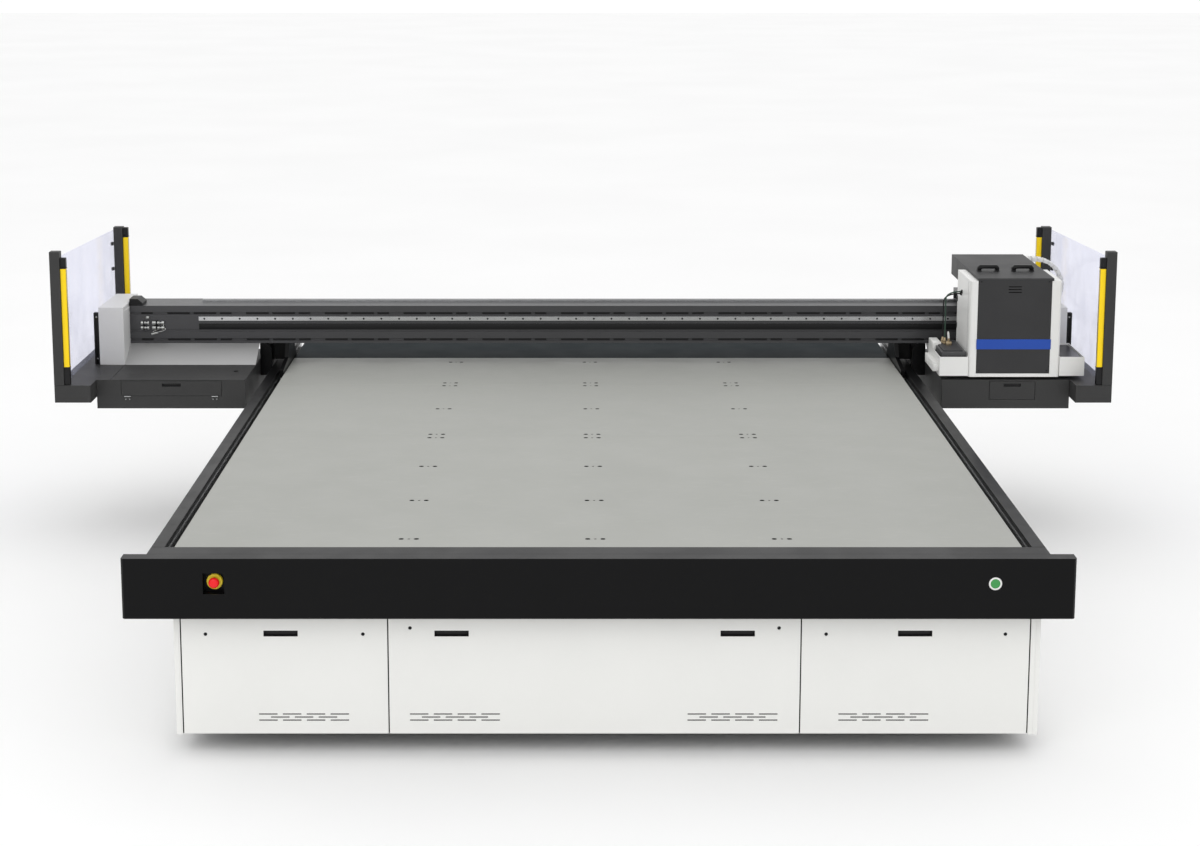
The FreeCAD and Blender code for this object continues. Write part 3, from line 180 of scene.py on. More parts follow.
def plastic(name, color, rough=0.4, specular=0.5, grain=1400, coat=0.0, spread=0.04):
    """Moulded plastic: even colour, a spark-eroded grain and slight sheen changes."""
    look = Look(name, rough, 0, specular)
    flow = look.remap(look.noise(6, 3), 0, 1)
    look.color(look.mix(flow, shade(color, 1 - spread), shade(color, 1 + spread)))
    look.rough(look.remap(look.noise(5, 3), rough - 0.02, rough + 0.03))
    look.bump(look.noise(grain, 2), 0.2, 0.00002)
    look.shader.inputs["Coat Weight"].default_value = coat
    look.shader.inputs["Coat Roughness"].default_value = 0.08
    return look.material


def metal(name, color, rough=0.35, stretch=(1, 60, 60), lines=30, tone=0.08, metallic=1.0):
    """Drawn, ground or anodised metal: lines along one axis and cloudy tone."""
    look = Look(name, rough, metallic, 0.5)
    brushed = look.remap(look.noise(lines, 5, stretch), 0, 1)
    cloudy = look.remap(look.noise(3, 4), 0, 1)
    body = look.mix(brushed, shade(color, 1 - tone), shade(color, 1 + tone))
    look.color(look.mix(cloudy, body, shade(color, 1 - tone / 2)))
    look.rough(look.remap(look.noise(lines, 4, stretch), rough - 0.06, rough + 0.09))
    look.bump(look.noise(lines * 2, 3, stretch), 0.25, 0.00003)
    return look.material


def bed_metal():
    """Hard-anodised bed plate: fine mill lines along X, faint handling marks and satin gloss."""
    color = srgb(164, 165, 160)
    look = Look("bed_anodised", 0.48, 0.12, 0.4)
    lines = look.remap(look.noise(26, 6, (1, 30, 1)), 0, 1)
    cloud = look.remap(look.noise(0.9, 5), 0, 1)
    scuffs = look.remap(look.noise(14, 8, (1, 3, 1)), 0, 0.35, 0.56, 0.75)
    body = look.mix(lines, shade(color, 0.975), shade(color, 1.02))
    body = look.mix(cloud, body, shade(color, 0.955))
    look.color(look.mix(scuffs, body, shade(color, 1.1)))
    look.rough(look.remap(look.noise(4, 5), 0.45, 0.53))
    look.bump(look.noise(1600, 2), 0.2, 0.00003)
    look.bump(look.noise(40, 4, (1, 30, 1)), 0.12, 0.00003)
    return look.material


def window_sheet():
    """Tinted acrylic: pale violet, see-through, with faint wipe marks."""
    look = Look("window_acrylic", 0.06, 0, 0.5)
    tint = srgb(227, 232, 253)
    look.color(look.mix(look.remap(look.noise(3, 3), 0, 1), shade(tint, 0.97), tint))
    look.rough(look.remap(look.noise(12, 6, (1, 1, 4)), 0.05, 0.08))
    look.bump(look.noise(3, 2), 0.03, 0.0001)
    clear = look.nodes.new("ShaderNodeBsdfTransparent")
    clear.inputs["Color"].default_value = srgb(250, 250, 255)
    blend = look.nodes.new("ShaderNodeMixShader")
    look.links.new(look.remap(look.noise(7, 5), 0.8, 0.88), blend.inputs["Fac"])
    look.links.new(look.shader.outputs["BSDF"], blend.inputs[1])
    look.links.new(clear.outputs["BSDF"], blend.inputs[2])
    output = look.nodes["Material Output"]
    look.links.new(blend.outputs["Shader"], output.inputs["Surface"])
    return look.material


def make_looks():
    """One material for each slot of the record."""
    return {
        "frame_paint": paint("frame_paint", srgb(120, 124, 126), 0.5, wear=srgb(190, 192, 194)),
        "zinc": metal("zinc", srgb(190, 192, 190), 0.42, (12, 12, 12), 25),
        "white_paint": paint("white_paint", srgb(231, 231, 228), 0.42, 0.4, 1100, spread=0.012),
        "cast_metal": paint("cast_metal", srgb(96, 104, 108), 0.6, 0.4, 160, 0.0004),
        "bed_aluminium": bed_metal(),
        "deck_paint": paint("deck_paint", srgb(26, 35, 39), 0.62, 0.05, 500, 0.00001, spread=0.05),
        "black_paint": paint("black_paint", srgb(11, 11, 12), 0.3, 0.12, 900, 0.000006,
                             wear=srgb(48, 48, 48)),
        "rail_steel": metal("rail_steel", srgb(186, 187, 188), 0.28, (1, 90, 90), 22, 0.1),
        "signal_yellow": plastic("signal_yellow", srgb(255, 228, 50), 0.4),
        "signal_red": plastic("signal_red", srgb(235, 16, 24), 0.35, 0.3, coat=0.15),
        "signal_green": plastic("signal_green", srgb(30, 140, 56), 0.25, coat=0.6),
        "white_plastic": plastic("white_plastic", srgb(228, 228, 226), 0.36, spread=0.01),
        "anodised_black": metal("anodised_black", srgb(72, 72, 74), 0.36, (1, 80, 80), 18, 0.12, 0.45),
        "black_plastic": plastic("black_plastic", srgb(20, 20, 21), 0.42, 0.25),
        "grey_paint": paint("grey_paint", srgb(57, 57, 57), 0.5, 0.2, 1000, 0.00001, wear=srgb(92, 92, 92)),
        "bare_sheet": metal("bare_sheet", srgb(178, 178, 178), 0.42, (60, 1, 60), 16, 0.07, 0.7),
        "light_grey_paint": paint("light_grey_paint", srgb(212, 212, 212), 0.45, 0.35, spread=0.015),
        "curtain_yellow": paint("curtain_yellow", srgb(255, 216, 0), 0.3, 0.35, 600, spread=0.02),
        "tinted_window": window_sheet(),
        "cover_grey": plastic("cover_grey", srgb(54, 54, 55), 0.5, 0.2, 1100),
        "stripe_blue": plastic("stripe_blue", srgb(28, 72, 165), 0.3, 0.3, 500, spread=0.015),
        "tank_plastic": plastic("tank_plastic", srgb(222, 222, 214), 0.35),
    }


LOOKS = make_looks()
BRASS = metal("brass", srgb(176, 158, 128), 0.35, (20, 20, 20), 30)
LENS = plastic("lens_black", srgb(14, 14, 18), 0.12, 0.5, 300, coat=0.6)
GREEN_HOSE = plastic("hose_green", srgb(34, 62, 48), 0.4)
# Near-black that paints shade: it darkens the suction holes, the pin holes, the ventilation slots, the
# cover's slots and the panel gaps.
PAINTED_SHADE_BLACK = paint("painted_shade_black", srgb(7, 7, 7), 0.8, 0.05, 600, 0.00002)


# ---------------------------------------------------------------- mesh building

class Piece:
    """A mesh made of several bevelled parts."""

    def __init__(self, name):
        self.name = name
        self.mesh = bmesh.new()

    def bevel(self, verts, width, segments=2):
        """Rounds the sharp edges among these vertices."""
        edges = dict.fromkeys(edge for vert in verts for edge in vert.link_edges)
        sharp = [edge for edge in edges if len(edge.link_faces) == 2 and edge.calc_face_angle(0) > 0.6]
        if width > 0 and sharp:
            bmesh.ops.bevel(self.mesh, geom=sharp, offset=width, segments=segments, affect="EDGES",
                            profile=0.5, clamp_overlap=True)

    def box(self, low, high, width=0.0008):
        """A box between two corners, its edges rounded."""
        size = high - low
        middle = Matrix.Translation((low + high) / 2) @ Matrix.Diagonal((*size, 1))
        made = bmesh.ops.create_cube(self.mesh, size=1, matrix=middle)
        self.bevel(made["verts"], min(width, min(size) * 0.4))

    def turned(self, start, axis, profile, sides=28):
        """A turned shape from (radius, distance) pairs along an axis."""
        turn = Vector(axis).to_track_quat("Z", "Y").to_matrix().to_4x4()
        turn.translation = start
        rings = []
        for radius, distance in profile:
            ring = []
            for index in range(sides):
                angle = 2 * math.pi * index / sides
                spot = Vector((radius * math.cos(angle), radius * math.sin(angle), distance))
                ring.append(self.mesh.verts.new(turn @ spot))
            rings.append(ring)
        for one, two in zip(rings, rings[1:]):
            for index in range(sides):
                after = (index + 1) % sides
                self.mesh.faces.new((one[index], one[after], two[after], two[index]))
        self.mesh.faces.new(list(reversed(rings[0])))
        self.mesh.faces.new(rings[-1])

    def rod(self, start, axis, radius, length, edge=0.0005, sides=28):
        """A cylinder with rounded ends."""
        profile = [(radius - edge, 0), (radius, edge), (radius, length - edge), (radius - edge, length)]
        self.turned(start, axis, profile, sides)

    def prism(self, outline, low, high, axis="x", width=0.0008):
        """An outline pushed along X, Y or Z from low to high."""
        def spot(one, two, depth):
            orders = {"x": (depth, one, two), "y": (one, depth, two), "z": (one, two, depth)}
            return Vector(orders[axis])
        near = [self.mesh.verts.new(spot(*point, low)) for point in outline]
        far = [self.mesh.verts.new(spot(*point, high)) for point in outline]
        count = len(outline)
        self.mesh.faces.new(near)
        self.mesh.faces.new(list(reversed(far)))
        for index in range(count):
            after = (index + 1) % count
            self.mesh.faces.new((near[after], near[index], far[index], far[after]))
        bmesh.ops.recalc_face_normals(self.mesh, faces=self.mesh.faces[:])
        self.bevel(near + far, width)

    def tube(self, points, radius, sides=12):
        """A round tube through points."""
        rings = []
        count = len(points)
        for index, point in enumerate(points):
            before = points[max(index - 1, 0)]
            after = points[min(index + 1, count - 1)]
            turn = (after - before).to_track_quat("Z", "X").to_matrix()
            ring = []
            for side in range(sides):
                angle = 2 * math.pi * side / sides
                spot = Vector((radius * math.cos(angle), radius * math.sin(angle), 0))
                ring.append(self.mesh.verts.new(point + turn @ spot))
            rings.append(ring)
        for one, two in zip(rings, rings[1:]):
            shift = min(range(sides), key=lambda step: (one[0].co - two[step].co).length)
            for side in range(sides):
                a, b = two[(side + shift) % sides], two[(side + 1 + shift) % sides]
                self.mesh.faces.new((one[side], one[(side + 1) % sides], b, a))
        self.mesh.faces.new(list(reversed(rings[0])))
        self.mesh.faces.new(rings[-1])

    def finish(self, body, slot, material=None):
        """Makes the object, and says what it rides on and takes its finish from."""
        bmesh.ops.recalc_face_normals(self.mesh, faces=self.mesh.faces[:])
        data = bpy.data.meshes.new(self.name)
        self.mesh.to_mesh(data)
        self.mesh.free()
        for polygon in data.polygons:
            polygon.use_smooth = True
        data.set_sharp_from_angle(angle=math.radians(35))
        data.materials.append(material or LOOKS[slot])
        thing = bpy.data.objects.new(self.name, data)
        bpy.context.scene.collection.objects.link(thing)
        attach(thing, body)
        return thing


# ---------------------------------------------------------------- CAD nodes

# How far each node's edges are rounded, in millimetres.
EDGES = {
    "front_apron": 2.0, "side_panels": 1.5, "front_frame": 1.0, "rear_panel": 1.0,
    "front_panel_left": 1.2, "front_panel_centre": 1.2, "front_panel_right": 1.2,
    "bed_plate_front": 0.6, "bed_plate_middle": 0.6, "bed_plate_rear": 0.6, "rear_deck": 1.0,
    "side_frames": 2.0, "crossbeams": 1.5, "gantry_beam": 1.0, "beam_rails": 0.8,
    "beam_end_caps": 2.0, "gantry_legs": 1.5, "station_left": 2.5, "station_right": 2.5,
    "station_door": 0.8, "waste_drawer": 0.8, "splash_plates": 0.8, "column_covers": 4.0,
    "guard_bases": 2.5, "guard_posts": 2.0, "light_curtains": 3.0, "curtain_caps": 3.0,
    "guard_windows": 1.0, "cable_tray": 0.6, "carriage_saddle": 1.5, "carriage_blocks": 1.0,
    "lift_drive": 1.0, "carriage_housing": 2.0, "carriage_front_cover": 1.2,
    "carriage_skirts": 2.0, "uv_lamps": 2.5, "capping_unit": 1.5, "lift_carriers": 1.0,
    "carriage_top_cover": 3.0, "base_frame": 4.0, "levelling_feet": 1.5, "control_cabinet": 2.0,
    "vacuum_pump": 4.0, "print_heads": 1.0, "ink_tanks": 3.0, "head_plate": 0.6,
}


def dress_nodes():
    """Gives every CAD node its slot's material, and rounds the edges of the nodes listed in EDGES."""
    for row in frame["record"]["subparts"]:
        thing = frame["nodes"][row["node"]]
        thing.data.materials.clear()
        thing.data.materials.append(LOOKS[row["material_slot"]])
        size = EDGES.get(row["node"], 0)
        if not size:
            continue
        weld = thing.modifiers.new("Weld", "WELD")
        weld.merge_threshold = 0.00001
        bevel = thing.modifiers.new("Bevel", "BEVEL")
        bevel.width = size * MM
        bevel.segments = 2
        bevel.limit_method = "ANGLE"
        bevel.angle_limit = math.radians(40)
        thing.data.shade_smooth()
        normals = thing.modifiers.new("Normals", "WEIGHTED_NORMAL")
        normals.mode = "FACE_AREA"
        normals.weight = 100
        normals.keep_sharp = False
    # The registration pins, sunk in their holes, are painted near-black for the shade in those holes.
    frame["nodes"]["registration_pins"].data.materials[0] = PAINTED_SHADE_BLACK


# ---------------------------------------------------------------- cabinet and apron details

# Each panel: body, left ends of its grips, and its locks' inset and height, in millimetres.
PANELS = {
    "front_panel_left": ("panel_left", (-1257,), 91, 392),
    "front_panel_centre": ("panel_centre", (-615, 459), 81, 416),
    "front_panel_right": ("panel_right", (1125,), 91, 392),
}
GRIP_WIDTH, GRIP_HEIGHT, GRIP_RISE, GRIP_DEPTH = 0.129, 0.023, 0.383, 0.012


def add_grip(piece, left, face, bottom):
    """A black cup that lines a handle slot, with a lip at the top to pull on."""
    gap = 0.0003
    wall = 0.0016
    low = Vector((left + gap, face + gap, bottom + gap))
    high = Vector((left + GRIP_WIDTH - gap, face + GRIP_DEPTH - gap, bottom + GRIP_HEIGHT - gap))
    piece.box(Vector((low.x, high.y - wall, low.z)), high, 0.0004)
    piece.box(low, Vector((low.x + wall, high.y, high.z)), 0.0004)
    piece.box(Vector((high.x - wall, low.y, low.z)), high, 0.0004)
    piece.box(low, Vector((high.x, high.y, low.z + wall)), 0.0004)
    piece.box(Vector((low.x, low.y, high.z - 2 * wall)), high, 0.0006)


def make_panel_fittings():
    """Handle cups and quarter-turn locks of the front panels."""
    seat = 0.0118
    radius = 0.0066
    key = Vector((0.0032, 0.0006, 0.0009))
    key_depth = Vector((0, 0.0104, 0))
    for node, (body, grips, inset, rise) in PANELS.items():
        low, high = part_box(node)
        cups = Piece(node + "_grips")
        for left in grips:
            add_grip(cups, BED_X + left * MM, low.y, low.z + GRIP_RISE)
        cups.finish(body, "black_plastic")
        locks = Piece(node + "_locks")
        for x in (low.x + inset * MM, high.x - inset * MM):
            start = Vector((x, low.y + seat, low.z + rise * MM))
            locks.turned(start, (0, -1, 0), [(radius, 0), (radius, 0.0105), (radius - 0.0006, 0.0112),
                                             (0.0046, 0.0112), (0.004, 0.0098), (0.001, 0.0098)])
            locks.box(start - key_depth - key, start - key_depth + key, 0.0002)
        locks.finish(body, "black_plastic")


def screw(piece, spot, axis, radius, rise=0.0006):
    """A countersunk screw head with a socket, a little proud of its surface."""
    hold = radius * 0.5
    piece.turned(spot, axis, [(radius, -0.0002), (radius, rise * 0.6), (radius - 0.0006, rise),
                              (hold, rise), (hold * 0.95, rise - 0.0012), (hold * 0.3, rise - 0.0012)], 18)


def make_frame_screws():
    """Screws along the tops of the side frames."""
    low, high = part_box("side_frames")
    heads = Piece("side_frame_screws")
    inset = 0.0255
    first = 0.06
    pitch = 0.24
    radius = 0.008
    count = int((high.y - low.y - 2 * first) / pitch) + 1
    for index in range(count):
        for x in (low.x + inset, high.x - inset):
            screw(heads, Vector((x, low.y + first + index * pitch, high.z)), (0, 0, 1), radius, 0.0)
    heads.finish("base", "black_paint")


def make_bed_seams():
    """Black sealing cord down in the seams between the bed plates."""
    cords = Piece("bed_seam_seals")
    clearance = 0.00005
    seal_bottom, seal_top = 0.004, 0.0015
    for one, two in (("bed_plate_front", "bed_plate_middle"), ("bed_plate_middle", "bed_plate_rear")):
        low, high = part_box(one)
        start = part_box(two)[0].y
        middle = (high.y + start) / 2
        half = (start - high.y) / 2 - clearance
        cords.box(Vector((low.x, middle - half, high.z - seal_bottom)),
                  Vector((high.x, middle + half, high.z - seal_top)), 0.0001)
    cords.finish("base", "black_plastic")


# Rows from the bed's front edge, columns from its middle and half a pair's pitch, in millimetres.
HOLE_ROWS = (107, 653, 1199, 1712, 1778, 2291, 2804, 2870, 3383)
HOLE_COLUMNS = (-719, -10, 699)
HOLE_HALF_PITCH = 29


def make_suction_hole_shade():
    """Near-black plugs just under the bed's top in the suction holes, with a small bore: painted shade down
    in the holes.
    """
    hole_shade = Piece("suction_hole_shade")
    sunk = 0.0003
    radius = 0.0098
    bore = 0.0028
    for row in HOLE_ROWS:
        for column in HOLE_COLUMNS:
            for side in (-HOLE_HALF_PITCH, HOLE_HALF_PITCH):
                spot = Vector((BED_X + (column + side) * MM, BED_Y + row * MM, BED_Z - sunk))
                hole_shade.turned(spot, (0, 0, 1), [(radius, -0.014), (radius, -0.0002), (0.0096, 0),
                                                 (0.0034, 0), (bore, -0.0008), (bore, -0.008)], 24)
    hole_shade.finish("base", "black_plastic", PAINTED_SHADE_BLACK)


def make_panel_gap_shade():
    """Near-black strips down the gaps beside the front panels: painted shade in the gaps."""
    gap_shade = Piece("panel_gap_shade")
    gap = 0.005
    clearance = 0.0004
    depth = 0.012
    edges = [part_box(node) for node in PANELS]
    edges.sort(key=lambda pair: pair[0].x)
    lows = [edges[0][0].x - gap] + [pair[1].x for pair in edges]
    for left in lows:
        low = Vector((left + clearance, edges[0][0].y + 0.0025, edges[0][0].z + 0.001))
        gap_shade.box(low, Vector((left + gap - clearance, low.y + depth, edges[0][1].z)), 0.0008)
    gap_shade.finish("base", "black_plastic", PAINTED_SHADE_BLACK)


# Left ends of each panel's groups of ventilation slots, from the bed's middle, in millimetres.
VENT_LEFTS = {"front_panel_left": (-1281,), "front_panel_centre": (-711, 338), "front_panel_right": (908,)}
VENT_ROWS = (4, 3, 4)
VENT_PITCH, VENT_RISE, VENT_ROW_PITCH = 0.09, 0.051, 0.012
# Size of each near-black strip that paints the shade inside a ventilation slot.
VENT_SHADE_SIZE = Vector((0.0696, 0.0154, 0.0041))


def add_vent_shade(piece, left, bottom, face):
    """Near-black strips a little way into the ventilation slots: painted shade inside them."""
    for row, count in enumerate(VENT_ROWS):
        for index in range(count):
            x = left + (index + 0.5 * (row % 2)) * VENT_PITCH
            z = bottom + VENT_RISE + row * VENT_ROW_PITCH
            low = Vector((x + 0.0002, face + 0.0006, z + 0.0002))
            piece.box(low, low + VENT_SHADE_SIZE, 0.0003)


def make_vent_shade():
    """Near-black strips behind the slots of each front panel: painted shade inside the slots."""
    for node, lefts in VENT_LEFTS.items():
        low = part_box(node)[0]
        slot_shade = Piece(node + "_slot_shade")
        for left in lefts:
            add_vent_shade(slot_shade, BED_X + left * MM, low.z, low.y)
        slot_shade.finish(PANELS[node][0], "black_plastic", PAINTED_SHADE_BLACK)


# ---------------------------------------------------------------- gantry details

def make_beam_fittings():
    """Slot covers, the rail's backing strip and the plugs in the rail's screw holes."""
    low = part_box("gantry_beam")[0]
    rail_low, rail_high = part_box("beam_rails")
    make_slot_covers(low, rail_low.x, rail_high.x)
    holes = Piece("beam_rail_plugs")
    first = 0.03
    pitch = 0.093
    rise = 0.133
    count = int((rail_high.x - rail_low.x - 2 * first) / pitch) + 1
    for index in range(count):
        spot = Vector((rail_low.x + first + index * pitch, low.y - 0.012, low.z + rise))
        holes.turned(spot, (0, -1, 0), [(0.0052, -0.0004), (0.0052, 0.0001), (0.0044, 0.0003),
                                        (0.001, 0.0002)], 18)
    holes.finish("gantry", "black_plastic")


def make_slot_covers(low, rail_left, rail_right):
    """Covers of two lengths in the beam's slots, and a strip between its rails."""
    strips = Piece("beam_slot_covers")
    first = 0.06
    pitch = 0.138
    long, short = 0.118, 0.06
    for slot_rise in (15, 155):
        for index in range(34):
            length = long if index % 3 else short
            start = Vector((low.x + first + index * pitch, low.y + 0.0012, low.z + slot_rise * MM))
            strips.box(start, start + Vector((length, 0.004, 0.010)), 0.0006)
    cover = Vector((rail_left, low.y - 0.0046, low.z + 0.0745))
    strips.box(cover, Vector((rail_right, low.y - 0.004, low.z + 0.1055)), 0.0002)
    strips.finish("gantry", "black_plastic")


# Two rows of cylinders: height over the bed, and each one's left end and length, in millimetres.
VALVE_RISES = (223, 197)
VALVES = ((-2322, 44), (-2262, 62))


def make_valves():
    """Four small air cylinders with clamps and a pressure switch on the beam's left end."""
    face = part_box("gantry_beam")[0].y
    valves = Piece("air_valves")
    clamps = Piece("air_valve_clamps")
    for rise in VALVE_RISES:
        for left, length in VALVES:
            start = Vector((left * MM, face - 0.011, BED_Z + rise * MM))
            body = length * MM
            valves.turned(start, (1, 0, 0), [(0.006, 0), (0.0095, 0.001), (0.0095, body * 0.3),
                                             (0.008, body * 0.32), (0.008, body * 0.62),
                                             (0.0046, body * 0.64), (0.0046, body * 0.78),
                                             (0.0098, body * 0.8), (0.0098, body), (0.008, body)], 20)
            clamps.box(start + Vector((body * 0.3, -0.010, -0.011)),
                       start + Vector((body * 0.42, 0.0105, 0.011)), 0.001)
    gauge = Vector((-2286 * MM, face - 0.009, BED_Z + 0.252))
    valves.box(gauge - Vector((0.008, 0.008, 0.006)), gauge + Vector((0.008, 0.009, 0.006)), 0.0015)
    valves.rod(Vector((-2268 * MM, face - 0.01, BED_Z + 0.163)), (1, 0, 0.25), 0.006, 0.035)
    valves.finish("gantry", "zinc")
    clamps.finish("gantry", "black_plastic")
    make_valve_wires(face)


def make_valve_wires(face):
    """Two wires that leave the right-hand cylinders, bow out and come back lower down."""
    wires = Piece("air_valve_wires")
    steps = 16
    start_x = -2201
    back = 60
    for start_z, end_z, reach in ((223, 176, 18), (197, 168, 30)):
        points = []
        for step in range(steps + 1):
            part = step / steps
            x = start_x + reach * math.sin(part * math.pi) - back * part
            z = start_z + (end_z - start_z) * part
            points.append(Vector((x * MM, face - 0.009 + 0.002 * math.sin(part * 6), BED_Z + z * MM)))
        wires.tube(points, 0.0012, 8)
    wires.finish("gantry", "white_plastic")


def make_column_strips():
    """Black slotted profiles on the outer sides of the columns."""
    low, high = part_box("column_covers")
    strips = Piece("column_strips")
    screws = Piece("column_strip_screws")
    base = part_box("guard_bases")[1].z
    front = low.y + 0.012
    width, depth, height = 0.028, 0.03, 0.272
    wall, groove = 0.009, 0.006
    for side in (-1, 1):
        outer = side * high.x
        inner_edge, outer_edge = sorted((outer, outer + side * width))
        strips.prism([(inner_edge, front), (inner_edge, front + depth), (outer_edge, front + depth),
                      (outer_edge, front), (outer_edge - wall, front), (outer_edge - wall, front + groove),
                      (inner_edge + wall, front + groove), (inner_edge + wall, front)],
                     base, base + height, "z")
        for z in (0.03, 0.25):
            spot = Vector((outer + side * width / 2, front + groove, base + z))
            screw(screws, spot, (0, -1, 0), 0.0045, 0.0025)
    strips.finish("gantry", "black_plastic")
    screws.finish("gantry", "rail_steel")


def make_hinges():
    """Screws and knuckles of the butterfly hinges under the station door."""
    low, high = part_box("door_hinges")
    face = low.y + 0.003
    half_leaf = 0.016
    screw_reach = 0.0095
    knuckle = 0.0058
    pitch = 0.0063
    leaves = Piece("butterfly_hinges")
    for middle in (low.x + half_leaf, high.x - half_leaf):
        for side in (-1, 1):
            spot = Vector((middle + side * screw_reach, face + 0.0012, low.z + 0.006))
            screw(leaves, spot, (0, -1, 0), 0.0028, 0.0012)
        for step in range(5):
            start = Vector((middle - 0.0155 + step * pitch, low.y + 0.0025, BED_Z - 0.0575))
            leaves.rod(start, (1, 0, 0), 0.00255, knuckle, 0.0003, 18)
    leaves.finish("gantry", "rail_steel")


def make_station_trim():
    """Seams on the station tops, and a round plug near the left column."""
    low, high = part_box("station_left")
    column_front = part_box("column_covers")[0].y
    trim = Piece("station_trim")
    seam_x = 2.382
    half = 0.0012
    for side in (-1, 1):
        x = side * seam_x
        trim.box(Vector((x - half, low.y + 0.003, high.z - 0.001)),
                 Vector((x + half, column_front, high.z + 0.0012)), 0.0004)
    plug = Vector((-1.78, low.y + 0.2, high.z))
    trim.turned(plug, (0, 0, 1), [(0.011, -0.001), (0.011, 0.003), (0.009, 0.0045), (0.004, 0.0045)], 24)
    trim.finish("gantry", "black_plastic")


def make_station_grips():
    """Black cups in the finger slots of the station door and the waste drawer."""
    for node, body, grip_x, depth in (("station_door", "door", (-2.122, -2.027), 0.008),
                                      ("waste_drawer", "drawer", (2.120, 2.207), 0.006)):
        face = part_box(node)[0].y
        cup = Piece(node + "_cup")
        gap = 0.0003
        wall = 0.0014
        low = Vector((grip_x[0] + gap, face + gap, BED_Z - 0.008 + gap))
        high = Vector((grip_x[1] - gap, face + depth - gap, BED_Z + 0.008 - gap))
        cup.box(Vector((low.x, high.y - wall, low.z)), high, 0.0003)
        for one, two in ((low, Vector((low.x + wall, high.y, high.z))),
                         (Vector((high.x - wall, low.y, low.z)), high),
                         (low, Vector((high.x, high.y, low.z + wall))),
                         (Vector((low.x, low.y, high.z - wall)), high)):
            cup.box(one, two, 0.0003)
        cup.finish(body, "black_plastic")


# Each light curtain: inset from the post's outer face, front, low and high ends, in millimetres.
CURTAINS = ((50, 2688, 112, 622), (96, 3958, 112, 590))
CURTAIN_WIDTH, CURTAIN_DEPTH = 28, 30


def make_curtain_details():
    """Lens strips and end rings of the light curtains, and the cable glands over and under them."""
    lenses = Piece("curtain_lenses")
    fittings = Piece("curtain_glands")
    post_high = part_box("guard_posts")[1]
    for side in (-1, 1):
        for inset, front, low_z, high_z in CURTAINS:
            outer = side * (post_high.x - inset * MM)
            inner = outer - side * CURTAIN_WIDTH * MM
            add_lens(lenses, inner, side, front, low_z, high_z)
            add_glands(fittings, (inner + outer) / 2, front, high_z)
            add_end_rings(fittings, inner, outer, front, (low_z, high_z))
    lenses.finish("gantry", "black_plastic", LENS)
    fittings.finish("gantry", "black_plastic")


def add_lens(piece, inner, side, front, low_z, high_z):
    """A dark strip down the inner face of a light curtain."""
    low_x, high_x = sorted((inner, inner + side * 0.0045))
    low = at(low_x / MM, front + 8, low_z + 12)
    high = at(high_x / MM, front + CURTAIN_DEPTH - 8, high_z - 12)
    proud = Vector((-side * 0.0004, 0, 0))
    piece.box(low + proud, high + proud, 0.0008)


def add_glands(piece, middle, front, high_z):
    """A cable gland in the post's top and one in its foot."""
    sunk = Vector((0, 0, 0.0012))
    upper = at(middle / MM, front + CURTAIN_DEPTH / 2, high_z + 46) - sunk
    lower = at(middle / MM, front + CURTAIN_DEPTH / 2, 30)
    for spot in (upper, lower):
        piece.turned(spot, (0, 0, 1), [(0.010, -0.006), (0.010, 0.0), (0.0085, 0.0012),
                                       (0.004, 0.0012)], 20)


def add_end_rings(piece, inner, outer, front, ends):
    """A ring round each end of a light curtain, where its cap begins."""
    inset = 4
    half = 4
    grow = Vector((0.0008, 0.0008, 0))
    for z in (ends[0] + inset, ends[1] - inset):
        ring_low = at(min(inner, outer) / MM, front, z - half)
        ring_high = at(max(inner, outer) / MM, front + CURTAIN_DEPTH, z + half)
        piece.box(ring_low - grow, ring_high + grow, 0.0012)


def make_window_trim():
    """Clips and screws that hold the guard windows."""
    low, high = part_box("guard_windows")
    clips = Piece("window_clips")
    half = Vector((0.0065, 0.012, 0.009))
    for side in (-1, 1):
        x = side * (high.x - 0.003)
        for y in (low.y + 0.03, high.y - 0.04):
            for z in (0.12, 0.38, 0.52):
                spot = Vector((x, y, low.z + z))
                clips.box(spot - half, spot + half, 0.002)
                for way in (-1, 1):
                    screw(clips, spot + Vector((way * half.x, 0, 0)), (way, 0, 0), 0.004, 0.0012)
    clips.finish("gantry", "grey_paint")


# ---------------------------------------------------------------- energy chain

def add_link(piece, middle, along, depth, tall, pitch):
    """One chain link: two pairs of overlapping side plates and two cross bars."""
    turn = Matrix.Rotation(-math.atan2(along.z, along.x), 4, "Y")
    half_depth = depth / 2
    half_tall = tall / 2
    start = len(piece.mesh.verts)
    for side in (-1, 1):
        outer = side * (half_depth - 0.004)
        piece.box(Vector((-pitch * 0.56, outer - 0.0035, -half_tall)),
                  Vector((pitch * 0.36, outer + 0.0035, half_tall)), 0.003)
        inner = side * (half_depth - 0.0095)
        piece.box(Vector((pitch * 0.2, inner - 0.002, -half_tall * 0.8)),
                  Vector((pitch * 0.6, inner + 0.002, half_tall * 0.8)), 0.002)
    half_bar = 0.0014
    for side in (-1, 1):
        bar_z = side * (half_tall - 0.0016)
        piece.box(Vector((-pitch * 0.24, -half_depth + 0.003, bar_z - half_bar)),
                  Vector((pitch * 0.2, half_depth - 0.003, bar_z + half_bar)), 0.001)
    piece.mesh.verts.ensure_lookup_table()
    place = Matrix.Translation(middle) @ turn
    for index in range(start, len(piece.mesh.verts)):
        vert = piece.mesh.verts[index]
        vert.co = place @ vert.co


LINK_PITCH = 0.03


def make_chain():
    """Replaces the plain chain solids with their links."""
    low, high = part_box("energy_chain_run")
    tall = high.z - low.z
    depth = high.y - low.y
    middle_y = (low.y + high.y) / 2
    make_chain_run(low, high, depth, tall, middle_y)
    make_chain_loop(depth, tall, middle_y)


